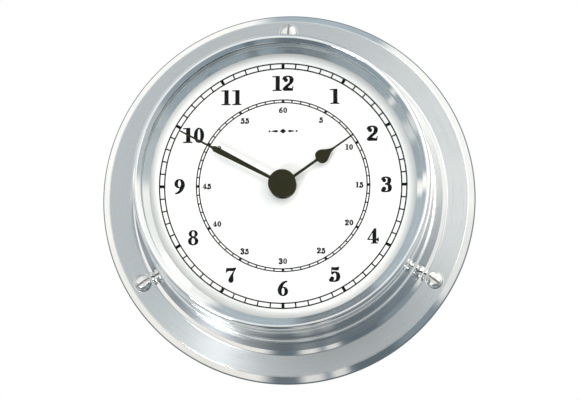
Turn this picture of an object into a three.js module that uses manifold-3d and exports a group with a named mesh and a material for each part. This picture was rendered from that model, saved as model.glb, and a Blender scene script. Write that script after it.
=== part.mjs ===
// Ship's deck clock: a round flange-mounted case with a quartz movement behind a white dial.
//
// Millimetres, +Z up. The origin is the centre of the flange's back face, and the clock's axis
// is Y: the dial faces -Y, +X is three o'clock and +Z is twelve o'clock. Depths are given as
// "forward" distances, measured from the flange's back face towards the viewer, so y = -forward.

import * as THREE from 'three';
import { mergeVertices } from 'three/addons/utils/BufferGeometryUtils.js';
import Module from 'manifold-3d';

const wasm = await Module();
wasm.setup();

// ---------------------------------------------------------------- driving dimensions

const RING_STEPS = 40; // facets around each large ring
const BORE_STEPS = 16; // facets around each small hole or rod
const GAP = 0.3; // clearance left between pieces that would touch

const FLANGE_R = 60;
const FLANGE_THICK = 3;
const RIM_CREST_R = 57.8; // the polished rim slopes back from here
const RIM_EDGE_R = 59.6;
const RIM_EDGE = 1.25;
const RIM_FOOT = 0.6;
const COLLAR_R = 47.9;
const COLLAR_FRONT = 11.7;
const BASE_FOOT_R = 51; // the collar runs out on to the flange in a polished cove
const BASE_MIDDLE_R = 49.1;
const BASE_MIDDLE = 4.8;
const BASE_TOP = 6.4;
const RECESS_R = 45.4; // rear recess that takes the cover
const LEDGE_R = 40.5; // inner edge of the ledge behind which the cover lies
const LEDGE_BACK = 2.9;
const LEDGE_FRONT = 4.6;
const SPIGOT_R = 46.4;
const SPIGOT_BACK = 9;

const DRUM_R = 47.3;
const DRUM_BORE_R = 45.2;
const DRUM_FRONT = 29.9;
const BEZEL_SEAT_R = 45.8;
const BEZEL_SEAT_FRONT = 32.6;
const DIAL_LEDGE_R = 43;
const DIAL_LEDGE_THICK = 1.6;

const BEZEL_R = 47;
const BEZEL_FRONT = 37.2;
const CREST_ROLL = 1.1;
const CREST_INNER_R = 45.7;
const SIGHT_R = 44.4; // clear radius through the bezel's lip
const LIP_FRONT = 36.3;
const LIP_BACK = 35.7;

const GLASS_R = 45.8;
const GLASS_BACK = 33.8;
const GLASS_FRONT = 35.4;

const DIAL_R = 44.9;
const DIAL_FRONT = 28;
const DIAL_THICK = 0.8;
const DIAL_SIGHT_R = 42.1; // radius of dial left in view by the conical ring
const CONE_FRONT_R = 44.4; // the ring's cone ends here, and a thin wall carries on to the glass
const CONE_FRONT = 29.6;
const DIAL_RING_WALL_R = 44.5;
const DIAL_RING_FRONT = 33.4;

const SCREW_CIRCLE_R = 54;
const SCREW_ANGLES = [0, 120, 240]; // degrees clockwise from twelve o'clock
const SCREW_HOLE_R = 2.05;
const COUNTERSINK_R = 3.05;
const COUNTERSINK_DEPTH = 1.05;
const SCREW_HEAD_R = 2.7;
const SCREW_SHANK_R = 1.7;
const SCREW_SHANK_END = -9; // the shank tapers from here to its point
const SCREW_POINT = -13;
const COVER_SCREW_CIRCLE_R = 42.9;
const COVER_SCREW_HOLE_R = 1.25;
const COVER_SCREW_HEAD_R = 1.9;
const COVER_SCREW_SHANK_R = 0.95;
const COVER_SCREW_ANGLES = [60, 180, 300];

const HOUR_HAND_ANGLE = 54.9; // 1:50, degrees clockwise from twelve o'clock
const MINUTE_HAND_ANGLE = 298;
const HOUR_HAND_LENGTH = 27.2;
const MINUTE_HAND_LENGTH = 36.5;
const HAND_THICK = 0.4;
const HUB_R = 4.4;

const MOVEMENT_SIZE = 56;
const MOVEMENT_BACK = 10;
const MOVEMENT_FRONT = 26;
const SHELL_WALL = 1.2;
const FRONT_SHELL_THICK = 1.4;

const BATTERY_R = 7.1;
const BATTERY_LENGTH = 50.5;
const BATTERY_Z = -19.45;
const BATTERY_FORWARD = 17.3;
const BAY_TOP = -12.1; // the battery bay's wall, seen from inside the bay

const BUSHING_R = 3.2;
const BUSHING_BORE_R = 2.45;
const HOUR_PIPE_R = 2.2;
const HOUR_PIPE_BORE_R = 1.65;
const MINUTE_ARBOR_R = 1.4;
const ARBOR_R = 0.5;

// ---------------------------------------------------------------- helpers

const radians = THREE.MathUtils.degToRad;

// A solid for joining and cutting, made from a closed three.js geometry.
function solid(geometry) {
  const bare = geometry.clone();
  bare.deleteAttribute('normal');
  bare.deleteAttribute('uv');
  const merged = mergeVertices(bare, 1e-4);
  return new wasm.Manifold(new wasm.Mesh({
    numProp: 3,
    vertProperties: new Float32Array(merged.attributes.position.array),
    triVerts: new Uint32Array(merged.index.array),
  }));
}

function geometryOf(manifold) {
  const cut = manifold.getMesh();
  const geometry = new THREE.BufferGeometry();
  geometry.setAttribute('position', new THREE.BufferAttribute(cut.vertProperties, 3));
  geometry.setIndex(new THREE.BufferAttribute(cut.triVerts, 1));
  geometry.computeVertexNormals();
  return geometry;
}

function join(...geometries) {
  return geometryOf(geometries.map(solid).reduce((sum, next) => sum.add(next)));
}

function cut(geometry, ...tools) {
  return geometryOf(tools.map(solid).reduce((rest, tool) => rest.subtract(tool), solid(geometry)));
}

// A piece turned about the clock's axis from [radius, forward] points.
function turned(profile, steps = RING_STEPS) {
  const points = profile.map(([radius, forward]) => new THREE.Vector2(radius, -forward));
  const onAxis = points[0].x === 0 && points.at(-1).x === 0;
  if (THREE.ShapeUtils.area(points) < 0) points.reverse();
  if (!onAxis) points.push(points[0].clone());
  return new THREE.LatheGeometry(points, steps);
}

function ring(innerR, outerR, back, front, steps = RING_STEPS) {
  return turned([[innerR, back], [outerR, back], [outerR, front], [innerR, front]], steps);
}

// A round bar along the clock's axis direction, centred on (x, z).
function rod(radius, back, front, x = 0, z = 0, steps = BORE_STEPS) {
  const geometry = new THREE.CylinderGeometry(radius, radius, front - back, steps);
  return geometry.translate(x, -(front + back) / 2, z);
}

// A flat piece drawn in the dial's plane (x right, z up) and given a thickness.
function plate(shape, back, front, curveSegments = 6) {
  const depth = front - back;
  const geometry = new THREE.ExtrudeGeometry(shape, { depth, bevelEnabled: false, curveSegments });
  geometry.rotateX(Math.PI / 2);
  return geometry.translate(0, -back, 0);
}

function block(xRange, zRange, back, front) {
  const geometry = new THREE.BoxGeometry(xRange[1] - xRange[0], front - back, zRange[1] - zRange[0]);
  const x = (xRange[0] + xRange[1]) / 2;
  const z = (zRange[0] + zRange[1]) / 2;
  return geometry.translate(x, -(front + back) / 2, z);
}

function roundedRectangle(xRange, zRange, radius) {
  const [left, right] = xRange;
  const [bottom, top] = zRange;
  const shape = new THREE.Shape();
  shape.absarc(right - radius, top - radius, radius, 0, Math.PI / 2);
  shape.absarc(left + radius, top - radius, radius, Math.PI / 2, Math.PI);
  shape.absarc(left + radius, bottom + radius, radius, Math.PI, Math.PI * 1.5);
  shape.absarc(right - radius, bottom + radius, radius, Math.PI * 1.5, Math.PI * 2);
  return shape;
}

function regularPolygon(sides, radius, turn = 0) {
  const points = [];
  for (let i = 0; i < sides; i += 1) {
    const angle = turn + (i * 2 * Math.PI) / sides;
    points.push(new THREE.Vector2(radius * Math.cos(angle), radius * Math.sin(angle)));
  }
  return new THREE.Shape(points);
}

// The point at a clock-face angle, in degrees clockwise from twelve o'clock.
function onDial(radius, clockDegrees) {
  const angle = radians(clockDegrees);
  return { x: radius * Math.sin(angle), z: radius * Math.cos(angle) };
}

// ---------------------------------------------------------------- materials

function finish(color, roughness, metalness = 0) {
  return () => new THREE.MeshStandardMaterial({ color, roughness, metalness });
}

const brushedChrome = finish(0xbfc5c8, 0.35, 1);
const polishedChrome = finish(0xd6dadc, 0.08, 1);
const dialWhite = finish(0xf6f6f4, 0.55);
const handBlack = finish(0x2b2a1c, 0.6);
const blackRubber = finish(0x1b1b1b, 0.85);
const brass = finish(0xc9a85a, 0.3, 1);
const caseGrey = finish(0x3a3d40, 0.55);
const gearWhite = finish(0xe8e6dc, 0.5);
const copper = finish(0xb8643a, 0.4, 1);
const steel = finish(0x9a9da0, 0.35, 1);
const magnetGrey = finish(0x4a4a4e, 0.5, 0.6);
const boardGreen = finish(0x2f6b43, 0.5);
const batteryWrap = finish(0x3b5f86, 0.4, 0.3);
const blackPlastic = finish(0x161616, 0.5);

const clock = new THREE.Group();

function add(name, geometry, material, place = {}) {
  const mesh = new THREE.Mesh(geometry, material());
  mesh.name = name;
  mesh.position.set(place.x ?? 0, 0, place.z ?? 0);
  mesh.rotation.y = place.turn ?? 0;
  clock.add(mesh);
  return mesh;
}

// ---------------------------------------------------------------- case

// Points along a quarter-round corner, from one angle to another, in [radius, forward].
function arcPoints(centreR, centreForward, radius, fromDegrees, toDegrees, steps) {
  const points = [];
  for (let i = 0; i <= steps; i += 1) {
    const angle = radians(fromDegrees + ((toDegrees - fromDegrees) * i) / steps);
    points.push([centreR + radius * Math.cos(angle), centreForward + radius * Math.sin(angle)]);
  }
  return points;
}

function mountingFlange() {
  const counterboreR = SPIGOT_R + GAP;
  const body = turned([
    [RECESS_R, 0],
    [RECESS_R, LEDGE_BACK],
    [LEDGE_R, LEDGE_BACK],
    [LEDGE_R, LEDGE_FRONT],
    [RECESS_R, LEDGE_FRONT],
    [RECESS_R, SPIGOT_BACK - GAP],
    [counterboreR, SPIGOT_BACK - GAP],
    [counterboreR, COLLAR_FRONT],
    [COLLAR_R, COLLAR_FRONT],
    [COLLAR_R, BASE_TOP],
    [BASE_MIDDLE_R, BASE_MIDDLE],
    [BASE_FOOT_R, FLANGE_THICK],
    [RIM_CREST_R, FLANGE_THICK],
    [RIM_EDGE_R, RIM_EDGE],
    [FLANGE_R, RIM_FOOT],
    [FLANGE_R, 0.4],
    [FLANGE_R - 0.4, 0],
  ]);
  const holes = SCREW_ANGLES.flatMap((angle) => {
    const { x, z } = onDial(SCREW_CIRCLE_R, angle);
    const sink = new THREE.CylinderGeometry(COUNTERSINK_R, SCREW_HOLE_R, COUNTERSINK_DEPTH, BORE_STEPS);
    sink.rotateX(Math.PI).translate(x, -(FLANGE_THICK - 0.5), z);
    return [rod(SCREW_HOLE_R, -1, FLANGE_THICK + 1, x, z), sink];
  });
  const tappings = COVER_SCREW_ANGLES.map((angle) => {
    const { x, z } = onDial(COVER_SCREW_CIRCLE_R, angle);
    return rod(COVER_SCREW_HOLE_R, LEDGE_BACK - 1, LEDGE_FRONT + 1, x, z, 12);
  });
  return cut(body, ...holes, ...tappings);
}

function drumBody() {
  const ledgeFront = DIAL_FRONT - DIAL_THICK - GAP;
  return turned([
    [DRUM_BORE_R, SPIGOT_BACK],
    [SPIGOT_R, SPIGOT_BACK],
    [SPIGOT_R, COLLAR_FRONT + 0.25],
    [DRUM_R, COLLAR_FRONT + 0.25],
    [DRUM_R, DRUM_FRONT],
    [BEZEL_SEAT_R, DRUM_FRONT],
    [BEZEL_SEAT_R, BEZEL_SEAT_FRONT],
    [DRUM_BORE_R, BEZEL_SEAT_FRONT],
    [DRUM_BORE_R, ledgeFront],
    [DIAL_LEDGE_R, ledgeFront],
    [DIAL_LEDGE_R, ledgeFront - DIAL_LEDGE_THICK],
    [DRUM_BORE_R, ledgeFront - DIAL_LEDGE_THICK],
  ]);
}

function bezel() {
  const boreR = BEZEL_SEAT_R + GAP;
  return turned([
    [boreR, DRUM_FRONT + GAP],
    [BEZEL_R, DRUM_FRONT + GAP],
    ...arcPoints(BEZEL_R - CREST_ROLL, BEZEL_FRONT - CREST_ROLL, CREST_ROLL, 0, 90, 2),
    [CREST_INNER_R, BEZEL_FRONT],
    [SIGHT_R, LIP_FRONT],
    [SIGHT_R, LIP_BACK],
    [boreR, LIP_BACK],
  ]);
}

function dialRing() {
  return turned([
    [DIAL_SIGHT_R, DIAL_FRONT + GAP],
    [CONE_FRONT_R, CONE_FRONT],
    [DIAL_RING_WALL_R, DIAL_RING_FRONT],
    [DIAL_R, DIAL_RING_FRONT],
    [DIAL_R, DIAL_FRONT + GAP],
  ]);
}

add('mounting_flange', mountingFlange(), brushedChrome);
add('drum_body', drumBody(), polishedChrome);
add('bezel', bezel(), polishedChrome);
add('glass', rod(GLASS_R, GLASS_BACK, GLASS_FRONT, 0, 0, RING_STEPS), finish(0xffffff, 0.02));
const gasket = ring(DRUM_BORE_R, GLASS_R, BEZEL_SEAT_FRONT + 0.2, GLASS_BACK - 0.2);
add('glass_gasket', gasket, blackRubber);
add('dial_ring', dialRing(), polishedChrome);
const dialBoreR = BUSHING_R + GAP;
add('dial', ring(dialBoreR, DIAL_R, DIAL_FRONT - DIAL_THICK, DIAL_FRONT), dialWhite);

// ---------------------------------------------------------------- mounting screws

// Slotted, raised countersunk wood screw, pointing back through the flange.
function mountingScrew() {
  const dome = FLANGE_THICK + 1.2;
  const body = turned([
    [0, dome],
    [1.2, dome - 0.12],
    [2.1, dome - 0.5],
    [SCREW_HEAD_R, FLANGE_THICK + 0.15],
    [SCREW_HEAD_R, FLANGE_THICK - 0.05],
    [SCREW_SHANK_R, FLANGE_THICK - 1.1],
    [SCREW_SHANK_R, SCREW_SHANK_END],
    [0.25, SCREW_POINT],
    [0, SCREW_POINT],
  ], BORE_STEPS);
  return cut(body, block([-0.4, 0.4], [-3, 3], dome - 0.9, dome + 1));
}

const SLOT_TURNS = [4, 128, 54]; // each screw's slot, degrees clockwise from upright

SCREW_ANGLES.forEach((angle, i) => {
  const place = { ...onDial(SCREW_CIRCLE_R, angle), turn: radians(SLOT_TURNS[i]) };
  add(`mounting_screw_${i + 1}`, mountingScrew(), steel, place);
});

// ---------------------------------------------------------------- hands

// Outline of a hand from its right-hand edge, [distance along, half width], mirrored.
function handShape(edge, bossR) {
  const start = edge[0];
  const shape = new THREE.Shape();
  const leave = Math.asin(start[1] / bossR);
  shape.absarc(0, 0, bossR, Math.PI / 2 - leave, Math.PI / 2 + leave - 2 * Math.PI, true);
  for (const [along, half] of edge.slice(1)) shape.lineTo(-half, along);
  for (const [along, half] of [...edge].slice(1).reverse()) shape.lineTo(half, along);
  return shape;
}

function hourHand() {
  const length = HOUR_HAND_LENGTH;
  const edge = [
    [4, 0.4],
    [0.495 * length, 0.4],
    [0.5 * length, 1.15],
    [0.52 * length, 1.75],
    [0.555 * length, 2.05],
    [0.59 * length, 1.9],
    [0.64 * length, 1.15],
    [0.69 * length, 0.5],
    [0.74 * length, 0.24],
    [length, 0.22],
  ];
  return handShape(edge, HUB_R - 0.3);
}

function minuteHand() {
  const length = MINUTE_HAND_LENGTH;
  const edge = [[4, 0.5], [0.63 * length, 0.92], [0.71 * length, 0.3], [length, 0.15]];
  return handShape(edge, HUB_R - 0.3);
}

const HOUR_HAND_BACK = 30.4;
const MINUTE_HAND_BACK = 31.7;
const HUB_BACK = MINUTE_HAND_BACK + HAND_THICK + GAP;

const hourHandPlate = plate(hourHand(), HOUR_HAND_BACK, HOUR_HAND_BACK + HAND_THICK);
const hourHandHole = rod(HOUR_PIPE_R + 0.2, HOUR_HAND_BACK - 1, HOUR_HAND_BACK + 2);
add('hour_hand', cut(hourHandPlate, hourHandHole), handBlack, { turn: radians(HOUR_HAND_ANGLE) });

const minuteHandPlate = plate(minuteHand(), MINUTE_HAND_BACK, MINUTE_HAND_BACK + HAND_THICK);
const minuteHandHole = rod(MINUTE_ARBOR_R + 0.2, MINUTE_HAND_BACK - 1, MINUTE_HAND_BACK + 2);
const minutePlace = { turn: radians(MINUTE_HAND_ANGLE) };
add('minute_hand', cut(minuteHandPlate, minuteHandHole), handBlack, minutePlace);

const hubCap = turned([
  [0, HUB_BACK - 1.8],
  [0.6, HUB_BACK - 1.8],
  [0.6, HUB_BACK],
  [HUB_R, HUB_BACK],
  [HUB_R, HUB_BACK + 0.6],
  [HUB_R - 0.2, HUB_BACK + 0.8],
  [0, HUB_BACK + 0.8],
], 24);
add('hub_cap', hubCap, handBlack);

// ---------------------------------------------------------------- movement fixing

const BUSHING_FOOT_R = 4.6; // the foot that bears on the inside of the case
const BUSHING_BACK = 23.8;
const BUSHING_FOOT_FRONT = 24.3;
const BUSHING_FRONT = 30;

const bushing = turned([
  [BUSHING_BORE_R, BUSHING_BACK],
  [BUSHING_FOOT_R, BUSHING_BACK],
  [BUSHING_FOOT_R, BUSHING_FOOT_FRONT],
  [BUSHING_R, BUSHING_FOOT_FRONT],
  [BUSHING_R, BUSHING_FRONT],
  [BUSHING_BORE_R, BUSHING_FRONT],
], 24);
add('threaded_bushing', bushing, brass);

const NUT_ACROSS_FLATS = 7.6;
const nutShape = regularPolygon(6, NUT_ACROSS_FLATS / 2 / Math.cos(Math.PI / 6));
const nutHole = rod(dialBoreR, DIAL_FRONT - 1, BUSHING_FRONT + 1, 0, 0, 24);
add('bushing_nut', cut(plate(nutShape, DIAL_FRONT + 0.6, BUSHING_FRONT - 0.2), nutHole), brass);
add('nut_washer', ring(dialBoreR, 4.3, DIAL_FRONT + 0.1, DIAL_FRONT + 0.4, 24), brass);
add('rubber_washer', ring(4, 9, MOVEMENT_FRONT + 0.2, DIAL_FRONT - DIAL_THICK - 0.2, 24), blackRubber);

// ---------------------------------------------------------------- movement case

const half = MOVEMENT_SIZE / 2;
const inner = half - SHELL_WALL;
const SHELL_CORNER = 3;
const GEAR_FLOOR = MOVEMENT_BACK + SHELL_WALL;
const SHELL_SPLIT = MOVEMENT_FRONT - FRONT_SHELL_THICK;

// Axes of the wheels in the dial's plane. Neighbours' distances set the tooth modules, and each
// direction is in degrees anticlockwise from three o'clock, as seen from the wheel that it meshes.
const MOTION_DISTANCE = 7.5;
const THIRD_DISTANCE = 7.5;
const INTERMEDIATE_DISTANCE = 7;
const ROTOR_DISTANCE = 4.8;
const MINUTE_WHEEL_DIRECTION = 135;
const SETTING_DIRECTION = 160;
const THIRD_DIRECTION = 30;
const INTERMEDIATE_DIRECTION = 80;
const ROTOR_DIRECTION = 60;

// A point at a distance and a direction, in degrees anticlockwise from three o'clock.
function beyond(from, distance, degrees) {
  const angle = radians(degrees);
  return { x: from.x + distance * Math.cos(angle), z: from.z + distance * Math.sin(angle) };
}

const centre = { x: 0, z: 0 };
const minuteWheelAxis = beyond(centre, MOTION_DISTANCE, MINUTE_WHEEL_DIRECTION);
const settingAxis = beyond(minuteWheelAxis, MOTION_DISTANCE, SETTING_DIRECTION);
const thirdAxis = beyond(centre, THIRD_DISTANCE, THIRD_DIRECTION);
const intermediateAxis = beyond(centre, INTERMEDIATE_DISTANCE, INTERMEDIATE_DIRECTION);
const rotorAxis = beyond(intermediateAxis, ROTOR_DISTANCE, ROTOR_DIRECTION);

const squareOutline = roundedRectangle([-half, half], [-half, half], SHELL_CORNER);

function movementCaseBack() {
  const body = plate(squareOutline, MOVEMENT_BACK, SHELL_SPLIT - GAP, 3);
  const gearRoom = block([-inner, inner], [BAY_TOP + SHELL_WALL, inner], GEAR_FLOOR, MOVEMENT_FRONT);
  const batteryBay = block([-inner, inner], [-inner, BAY_TOP], MOVEMENT_BACK - 1, MOVEMENT_FRONT);
  const shaftHole = rod(1.4, MOVEMENT_BACK - 1, GEAR_FLOOR + 1, settingAxis.x, settingAxis.z);
  const shell = solid(cut(body, gearRoom, batteryBay, shaftHole));
  const posts = [minuteWheelAxis, thirdAxis, intermediateAxis, rotorAxis].map(
    ({ x, z }) => solid(rod(1.1, GEAR_FLOOR - 0.4, GEAR_FLOOR + 0.3, x, z, 12)),
  );
  return geometryOf(posts.reduce((sum, post) => sum.add(post), shell));
}

const frontShell = plate(squareOutline, SHELL_SPLIT, MOVEMENT_FRONT, 3);
const frontHole = rod(BUSHING_R + GAP, SHELL_SPLIT - 1, MOVEMENT_FRONT + 1, 0, 0, 24);
add('movement_case_front', cut(frontShell, frontHole), caseGrey);
add('movement_case_back', movementCaseBack(), caseGrey);

// ---------------------------------------------------------------- gears

// Tooth outline: straight-sided teeth, thinner than their spaces so that wheels run freely.
const ADDENDUM = 0.75;
const DEDENDUM = 1.1;
const ROOT_WIDTH = 0.3; // half widths as fractions of the tooth pitch
const TIP_WIDTH = 0.1;

function gearShape(teeth, module, phase) {
  const pitchR = (teeth * module) / 2;
  const rootR = pitchR - DEDENDUM * module;
  const tipR = pitchR + ADDENDUM * module;
  const step = (2 * Math.PI) / teeth;
  const points = [];
  for (let i = 0; i < teeth; i += 1) {
    const mid = phase + i * step;
    for (const [radius, side] of [
      [rootR, -ROOT_WIDTH], [tipR, -TIP_WIDTH], [tipR, TIP_WIDTH], [rootR, ROOT_WIDTH],
    ]) {
      const angle = mid + side * step;
      points.push(new THREE.Vector2(radius * Math.cos(angle), radius * Math.sin(angle)));
    }
  }
  return new THREE.Shape(points);
}

// Phase of a wheel that meshes with a neighbour: its gap faces the neighbour's tooth.
function meshPhase(teeth, neighbourTeeth, neighbourPhase, degrees) {
  const direction = radians(degrees);
  const lead = neighbourPhase - direction;
  return direction + Math.PI - (lead * neighbourTeeth) / teeth + Math.PI / teeth;
}

const moduleFor = (distance, teethA, teethB) => (2 * distance) / (teethA + teethB);

const CANNON_TEETH = 12;
const MINUTE_WHEEL_TEETH = 36;
const MINUTE_PINION_TEETH = 10;
const HOUR_WHEEL_TEETH = 40;
const SETTING_TEETH = 12;
const SMALL_PINION_TEETH = 8;
const CENTRE_WHEEL_TEETH = 64;
const THIRD_WHEEL_TEETH = 60;
const SECONDS_WHEEL_TEETH = 48;
const INTERMEDIATE_WHEEL_TEETH = 40;

const cannonModule = moduleFor(MOTION_DISTANCE, CANNON_TEETH, MINUTE_WHEEL_TEETH);
const hourModule = moduleFor(MOTION_DISTANCE, MINUTE_PINION_TEETH, HOUR_WHEEL_TEETH);
const thirdModule = moduleFor(THIRD_DISTANCE, SMALL_PINION_TEETH, THIRD_WHEEL_TEETH);
const centreModule = moduleFor(THIRD_DISTANCE, SMALL_PINION_TEETH, CENTRE_WHEEL_TEETH);
const secondsModule = moduleFor(INTERMEDIATE_DISTANCE, SMALL_PINION_TEETH, SECONDS_WHEEL_TEETH);
const rotorModule = moduleFor(ROTOR_DISTANCE, SMALL_PINION_TEETH, INTERMEDIATE_WHEEL_TEETH);

const WHEEL_THICK = 0.8;
const ARBOR_BACK = GEAR_FLOOR + 0.5;
const ARBOR_FRONT = 24.4; // of the arbors that reach the front shell

// How far forward the back face of each wheel and pinion lies.
const ROTOR_PINION_BACK = 14.4;
const INTERMEDIATE_WHEEL_BACK = 14.7;
const INTERMEDIATE_PINION_BACK = 15.2;
const SECONDS_WHEEL_BACK = 16.3;
const SECONDS_PINION_BACK = 16.8;
const THIRD_WHEEL_BACK = 18;
const THIRD_PINION_BACK = 18.5;
const CENTRE_WHEEL_BACK = 19.8;
const CANNON_BACK = 21.2;
const MINUTE_WHEEL_BACK = 21.4;
const MINUTE_PINION_BACK = 21.9;
const HOUR_WHEEL_BACK = 22.7;

const ROTOR_PINION_LENGTH = 1.3;
const TRAIN_PINION_LENGTH = 2.2;
const THIRD_PINION_LENGTH = 2.4;
const MINUTE_PINION_LENGTH = 1.7;
const CANNON_LENGTH = 1.2;

function wheel(teeth, module, phase, back, thick = WHEEL_THICK) {
  return plate(gearShape(teeth, module, phase), back, back + thick);
}

// Motion work: minute arbor, minute wheel and hour wheel.
const cannonPhase = radians(MINUTE_WHEEL_DIRECTION);
const minuteArbor = cut(
  join(
    rod(MINUTE_ARBOR_R, CENTRE_WHEEL_BACK - 0.5, HUB_BACK - 0.2, 0, 0, 24),
    wheel(CANNON_TEETH, cannonModule, cannonPhase, CANNON_BACK, CANNON_LENGTH),
  ),
  rod(0.9, HUB_BACK - 3, HUB_BACK + 1),
);
add('minute_arbor', minuteArbor, steel);

const minutePhase = meshPhase(
  MINUTE_WHEEL_TEETH, CANNON_TEETH, cannonPhase, MINUTE_WHEEL_DIRECTION,
);
const minutePinionPhase = radians(MINUTE_WHEEL_DIRECTION + 180);
const minuteWheel = join(
  wheel(MINUTE_WHEEL_TEETH, cannonModule, minutePhase, MINUTE_WHEEL_BACK),
  wheel(
    MINUTE_PINION_TEETH, hourModule, minutePinionPhase, MINUTE_PINION_BACK, MINUTE_PINION_LENGTH,
  ),
  rod(ARBOR_R, ARBOR_BACK, ARBOR_FRONT),
);
add('minute_wheel', minuteWheel, gearWhite, minuteWheelAxis);

const hourPhase = meshPhase(
  HOUR_WHEEL_TEETH, MINUTE_PINION_TEETH, minutePinionPhase, MINUTE_WHEEL_DIRECTION + 180,
);
const hourWheel = cut(
  join(
    wheel(HOUR_WHEEL_TEETH, hourModule, hourPhase, HOUR_WHEEL_BACK),
    rod(HOUR_PIPE_R, HOUR_WHEEL_BACK + 0.1, HOUR_HAND_BACK + HAND_THICK, 0, 0, 24),
  ),
  rod(HOUR_PIPE_BORE_R, HOUR_WHEEL_BACK - 1, HOUR_HAND_BACK + 1, 0, 0, 24),
);
add('hour_wheel', hourWheel, gearWhite);

// Setting knob, its shaft running to the back.
const KNOB_R = 6.4;
const KNOB_BACK = 6.3;
const KNOB_FRONT = 9.5;
const KNOB_RIBS = 24;
const settingPhase = meshPhase(
  SETTING_TEETH, MINUTE_WHEEL_TEETH, minutePhase, SETTING_DIRECTION,
);
const knobRim = gearShape(KNOB_RIBS, (2 * KNOB_R) / KNOB_RIBS, 0);
const settingKnob = join(
  wheel(SETTING_TEETH, cannonModule, settingPhase, CANNON_BACK, CANNON_LENGTH),
  rod(1, KNOB_FRONT - 0.5, 22.9),
  plate(knobRim, KNOB_BACK, KNOB_FRONT),
);
add('setting_knob', settingKnob, blackPlastic, settingAxis);

// Going train: seconds wheel on the clock's axis, third wheel, centre wheel.
const thirdPinionPhase = radians(THIRD_DIRECTION + 180);
const centreWheelPhase = meshPhase(
  CENTRE_WHEEL_TEETH, SMALL_PINION_TEETH, thirdPinionPhase, THIRD_DIRECTION + 180,
);
const centreWheel = cut(
  wheel(CENTRE_WHEEL_TEETH, centreModule, centreWheelPhase, CENTRE_WHEEL_BACK),
  rod(MINUTE_ARBOR_R + 0.15, CENTRE_WHEEL_BACK - 1, CENTRE_WHEEL_BACK + 2, 0, 0, 24),
);
add('centre_wheel', centreWheel, brass);

const secondsPinionPhase = radians(THIRD_DIRECTION);
const thirdPhase = meshPhase(
  THIRD_WHEEL_TEETH, SMALL_PINION_TEETH, secondsPinionPhase, THIRD_DIRECTION,
);
const thirdWheel = join(
  wheel(THIRD_WHEEL_TEETH, thirdModule, thirdPhase, THIRD_WHEEL_BACK),
  wheel(
    SMALL_PINION_TEETH, centreModule, thirdPinionPhase, THIRD_PINION_BACK, THIRD_PINION_LENGTH,
  ),
  rod(ARBOR_R, ARBOR_BACK, ARBOR_FRONT),
);
add('third_wheel', thirdWheel, gearWhite, thirdAxis);

const intermediatePinionPhase = radians(INTERMEDIATE_DIRECTION + 180);
const secondsPhase = meshPhase(
  SECONDS_WHEEL_TEETH, SMALL_PINION_TEETH, intermediatePinionPhase, INTERMEDIATE_DIRECTION + 180,
);
const secondsWheel = join(
  wheel(SECONDS_WHEEL_TEETH, secondsModule, secondsPhase, SECONDS_WHEEL_BACK),
  wheel(
    SMALL_PINION_TEETH, thirdModule, secondsPinionPhase, SECONDS_PINION_BACK, TRAIN_PINION_LENGTH,
  ),
  rod(ARBOR_R, ARBOR_BACK, SECONDS_PINION_BACK + 0.2),
);
add('seconds_wheel', secondsWheel, gearWhite);

const rotorPinionPhase = radians(ROTOR_DIRECTION + 180);
const intermediatePhase = meshPhase(
  INTERMEDIATE_WHEEL_TEETH, SMALL_PINION_TEETH, rotorPinionPhase, ROTOR_DIRECTION + 180,
);
const intermediateWheel = join(
  wheel(INTERMEDIATE_WHEEL_TEETH, rotorModule, intermediatePhase, INTERMEDIATE_WHEEL_BACK),
  wheel(
    SMALL_PINION_TEETH, secondsModule, intermediatePinionPhase, INTERMEDIATE_PINION_BACK,
    TRAIN_PINION_LENGTH,
  ),
  rod(ARBOR_R, ARBOR_BACK, INTERMEDIATE_PINION_BACK + TRAIN_PINION_LENGTH + 0.2),
);
add('intermediate_wheel', intermediateWheel, gearWhite, intermediateAxis);

const rotorPinion = join(
  wheel(SMALL_PINION_TEETH, rotorModule, rotorPinionPhase, ROTOR_PINION_BACK, ROTOR_PINION_LENGTH),
  rod(ARBOR_R, ARBOR_BACK, ROTOR_PINION_BACK + ROTOR_PINION_LENGTH + 0.8),
);
add('rotor_pinion', rotorPinion, gearWhite, rotorAxis);

const MAGNET_R = 3;
const MAGNET_BACK = 12;
const MAGNET_FRONT = 14;
const magnet = ring(ARBOR_R + 0.2, MAGNET_R, MAGNET_BACK, MAGNET_FRONT, 24);
add('rotor_magnet', magnet, magnetGrey, rotorAxis);

// ---------------------------------------------------------------- stepping motor and circuit

const STATOR_BACK = 12.5;
const STATOR_FRONT = 13.3;
const STATOR_HALF = 13;
const COIL_Z = 21.5;
const COIL_FORWARD = 14.5;
const COIL_HALF = 9;
const CORE_HALF = 12;
const LEG_WIDTH = 3.1;
const LEG_BOTTOM_Z = 17.2;

function stator() {
  const left = rotorAxis.x - STATOR_HALF;
  const right = rotorAxis.x + STATOR_HALF;
  const shape = roundedRectangle([left, right], [rotorAxis.z - 4.9, COIL_Z + 2.5], 1.5);
  const rotorHole = new THREE.Path();
  rotorHole.absarc(rotorAxis.x, rotorAxis.z, MAGNET_R + 0.4, 0, Math.PI * 2);
  shape.holes.push(rotorHole);
  const { x, z } = intermediateAxis;
  const arborNotch = rod(0.9, STATOR_BACK - 1, STATOR_FRONT + 1, x, z, 12);
  const legGap = [left + LEG_WIDTH, right - LEG_WIDTH];
  const coilNotch = block(legGap, [LEG_BOTTOM_Z, MOVEMENT_SIZE], STATOR_BACK - 1, STATOR_FRONT + 1);
  return cut(plate(shape, STATOR_BACK, STATOR_FRONT), arborNotch, coilNotch);
}

// A bar along X, centred on the coil's own axis.
function coilBar(radius, halfLength, steps = BORE_STEPS) {
  const geometry = new THREE.CylinderGeometry(radius, radius, 2 * halfLength, steps);
  return geometry.rotateZ(Math.PI / 2).translate(rotorAxis.x, -COIL_FORWARD, COIL_Z);
}

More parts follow.
